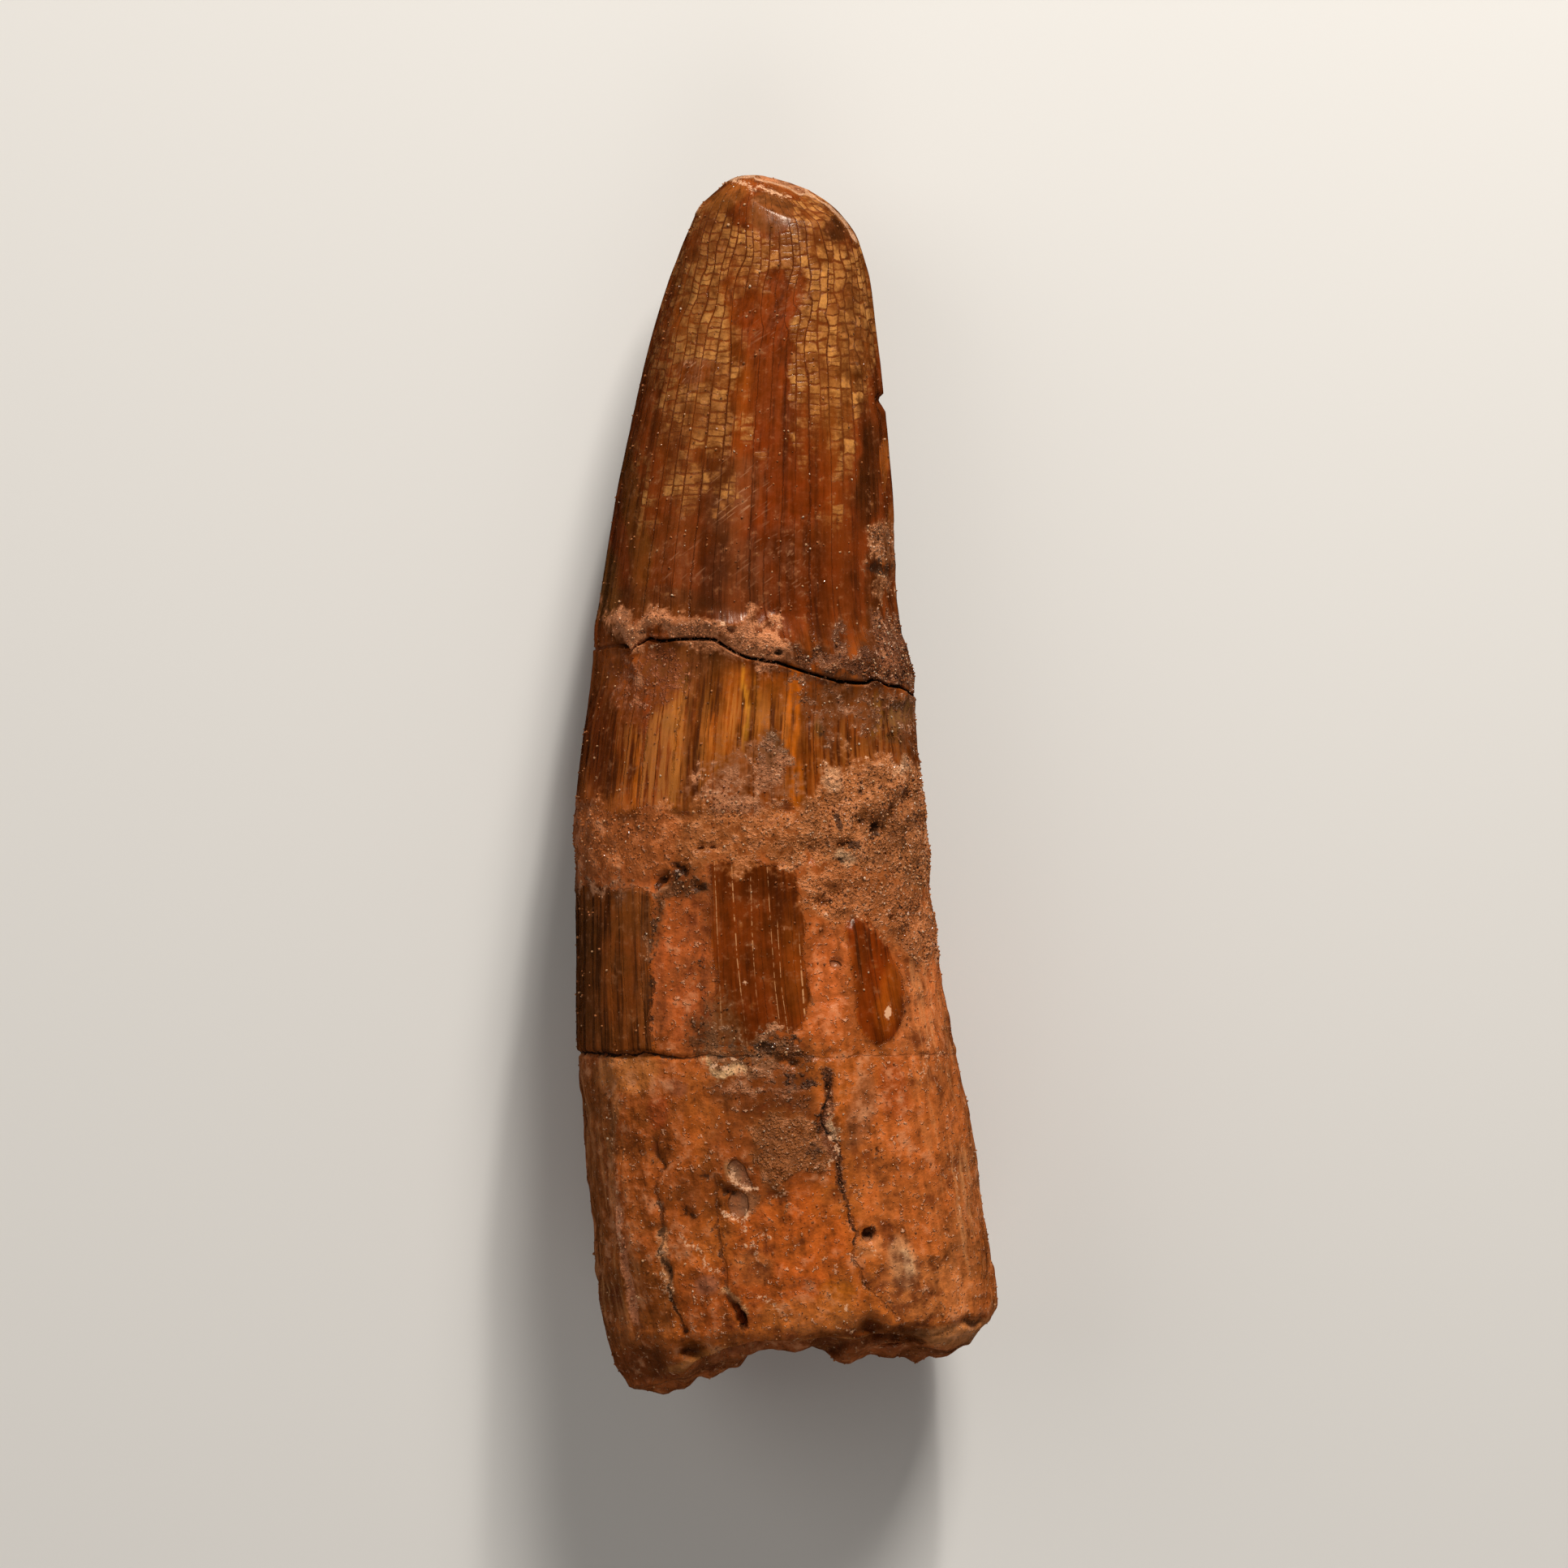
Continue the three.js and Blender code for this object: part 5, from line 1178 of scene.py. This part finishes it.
    # Fine relief, in millimetres.
    on_dentine = total([(enamel, -1.0), 1.0])
    on_root = both(on_dentine, where(27.0, 20.0, seen_v))
    off_the_band = ((where(24.0, 18.0, seen_v), 6.0), (where(46.0, 48.0, seen_v), 9.0))
    coarse = both(crust, where(-3.0, 3.0, across, (broad, 5.0), *off_the_band, -2.5, low=0.45, high=1.35))
    height = total([
        (both(coarse, total([(grain, 0.18), (crumb, 0.24), (mottle, 0.15), -0.285])), 1.0),
        (both(mottle, on_dentine), 0.12), (both(crumb, on_dentine), 0.06), (both(fleck, on_dentine), 0.12),
        (both(broad, on_root), 0.4), (both(mottle, on_root), 0.03), (both(crumb, on_root), -0.02),
        (where(-0.04, 0.1, into_chip), -0.2),
        (mottle, 0.03), (hair, 0.02), (streak, 0.02), (tiled, 0.03), (both(fine_crack, enamel), -0.04),
        (dark, -0.15),
    ])
    bump = add("Bump", {"Strength": 0.9, "Distance": MM, "Height": height})
    shader = add("BsdfPrincipled", {
        "Base Color": colour, "Roughness": rough, "Normal": bump, "IOR": 1.55,
        "Specular IOR Level": 0.5, "Specular Tint": (1.0, 0.85, 0.7, 1.0),
    })
    add("OutputMaterial", {"Surface": shader})
    return material


def sand_grain_material():
    """Desert quartz, from pale to iron-red: small grains with clean faces that catch the light one by one."""
    material = bpy.data.materials.new("sand_grains")
    material.use_nodes = True
    tree = material.node_tree
    shader = tree.nodes["Principled BSDF"]
    tint = tree.nodes.new("ShaderNodeAttribute")
    tint.attribute_name = "wash"
    tree.links.new(tint.outputs["Color"], shader.inputs["Base Color"])
    shader.inputs["Roughness"].default_value = 0.22
    shader.inputs["IOR"].default_value = 1.54
    return material


def plain_material(name, colour, roughness):
    """One even colour and roughness."""
    material = bpy.data.materials.new(name)
    material.use_nodes = True
    shader = material.node_tree.nodes["Principled BSDF"]
    shader.inputs["Base Color"].default_value = (*linear(colour), 1.0)
    shader.inputs["Roughness"].default_value = roughness
    return material


# ---- Sand grains ----
def round_grain():
    """Corners and faces of an icosahedron of radius 1, its faces turned outwards."""
    golden = (1 + 5**0.5) / 2
    signs = list(itertools.product((-1, 1), repeat=2))
    corners = [(0, a, b * golden) for a, b in signs]
    corners += [(a, b * golden, 0) for a, b in signs]
    corners += [(b * golden, 0, a) for a, b in signs]
    corners = np.array(corners) / math.hypot(1, golden)
    near = np.linalg.norm(corners[:, None] - corners[None], axis=-1) < 1.1
    faces = [t for t in itertools.combinations(range(12), 3) if near[t, t[1:] + t[:1]].all()]
    outward = [np.linalg.det(corners[list(t)]) > 0 for t in faces]
    return corners, np.array([t if out else t[::-1] for t, out in zip(faces, outward)])


def sand_grains(points, fields, quads, material):
    """Loose and half-sunk grains, most of them in the crusts: squeezed icosahedra, turned at random."""
    draw = np.random.default_rng(SEED)
    corners = points[quads]
    normal = np.cross(corners[:, 2] - corners[:, 0], corners[:, 3] - corners[:, 1])
    area = np.linalg.norm(normal, axis=1) / 2
    normal /= np.maximum(np.linalg.norm(normal, axis=1, keepdims=True), 1e-9)
    cover = fields["skin"][quads, 1].mean(axis=1)
    chance = area * (0.05 + smooth(cover + 0.3 * noise(corners.mean(axis=1), 1.2, 30), 0.35, 0.9))
    picked = draw.choice(len(quads), GRAINS, p=chance / chance.sum())
    weights = draw.dirichlet((1, 1, 1, 1), GRAINS)
    centre = (corners[picked] * weights[..., None]).sum(axis=1)
    radius = draw.uniform(*GRAIN_RADIUS, GRAINS) * draw.uniform(0.8, 1.15, GRAINS)
    centre += normal[picked] * radius[:, None] * 0.35

    shape, sides = round_grain()
    shape = shape * draw.uniform(0.72, 1.2, (GRAINS, 12, 1)) * draw.uniform(0.7, 1.25, (GRAINS, 1, 3))
    spin, _ = np.linalg.qr(draw.normal(size=(GRAINS, 3, 3)))
    shape = np.einsum("nvk,nkj->nvj", shape, spin)
    faces = sides + 12 * np.arange(GRAINS)[:, None, None]
    mirrored = np.linalg.det(spin) < 0
    faces[mirrored] = faces[mirrored][..., ::-1]
    grain_points = (centre[:, None] + shape * radius[:, None, None]).reshape(-1, 3)
    grain_points[:, 2] = np.maximum(grain_points[:, 2], points[:, 2].min())
    kinds = draw.choice(len(GRAIN_TINTS), GRAINS, p=list(GRAIN_TINTS.values()))
    tints = np.array([linear(tint) for tint in GRAIN_TINTS])[kinds]
    tints = mix(fields["sand_wash"][quads[picked, 0]], tints, 0.45)
    tints = {"wash": np.repeat(tints, 12, axis=0)}
    return make_mesh("sand_grains", grain_points, [faces.reshape(-1, 3)], tints, material)


# ---- Scene ----
def area_light(name, place, size, power, colour, mirrored):
    """A square softbox, aimed at the tooth. One that isn't mirrored is polarised away: no gloss shows it."""
    light = bpy.data.lights.new(name, "AREA")
    light.size, light.energy, light.color = size, power, colour
    lamp = bpy.data.objects.new(name, light)
    lamp.location = place
    lamp.visible_glossy = mirrored
    lamp.rotation_euler = (Vector((0, 0, 0.01)) - Vector(place)).to_track_quat("-Z", "Y").to_euler()
    bpy.context.scene.collection.objects.link(lamp)


def studio():
    """A pale floor that gloss doesn't show, the lamps and an even glow."""
    corners = FLOOR_REACH * np.array([(-1, -1, 0), (1, -1, 0), (1, 1, 0), (-1, 1, 0)])
    pale_floor = plain_material("pale_floor", *FLOOR_LOOK)
    floor = make_mesh("floor", corners, [np.array([(0, 1, 2, 3)])], {}, pale_floor)
    floor.visible_glossy = False

    for lamp in LAMPS:
        area_light(*lamp)
    world = bpy.data.worlds.new("studio")
    world.use_nodes = True
    world.node_tree.nodes["Background"].inputs["Color"].default_value = (1, 1, 1, 1)
    world.node_tree.nodes["Background"].inputs["Strength"].default_value = GLOW
    world.cycles_visibility.glossy = False
    bpy.context.scene.world = world
    bpy.context.scene.view_settings.view_transform = "Standard"


def look_down(shift):
    """The camera, straight above the middle of the view."""
    camera = bpy.data.objects.new("camera", bpy.data.cameras.new("camera"))
    camera.data.lens, camera.data.sensor_width = LENS, SENSOR
    camera.data.clip_start, camera.data.clip_end = 0.01, 10
    place = np.array([*VIEW_CENTRE, VIEW_PLANE + VIEW_DISTANCE]) + shift
    camera.location = Vector(place * MM)
    bpy.context.scene.collection.objects.link(camera)
    bpy.context.scene.camera = camera


def build():
    """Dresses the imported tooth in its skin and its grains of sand, and sets up floor, lamps and camera."""
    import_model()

    points, fields = tooth_points(tooth_wall())
    low, high = (np.array(corner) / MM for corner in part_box("tooth"))
    shift = (low + high) / 2 - (points.min(axis=0) + points.max(axis=0)) / 2
    shift[2] = low[2] - points[:, 2].min()
    points = points + shift
    quads, triangles = tooth_faces()
    tooth = make_mesh("tooth_skin", points, (quads, triangles), fields, fossil_tooth_material())
    tooth.data.shade_smooth()
    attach(tooth, "root")
    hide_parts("tooth")
    grains = sand_grains(points, fields, quads, sand_grain_material())
    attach(grains, "root")

    studio()
    look_down(shift)


build()
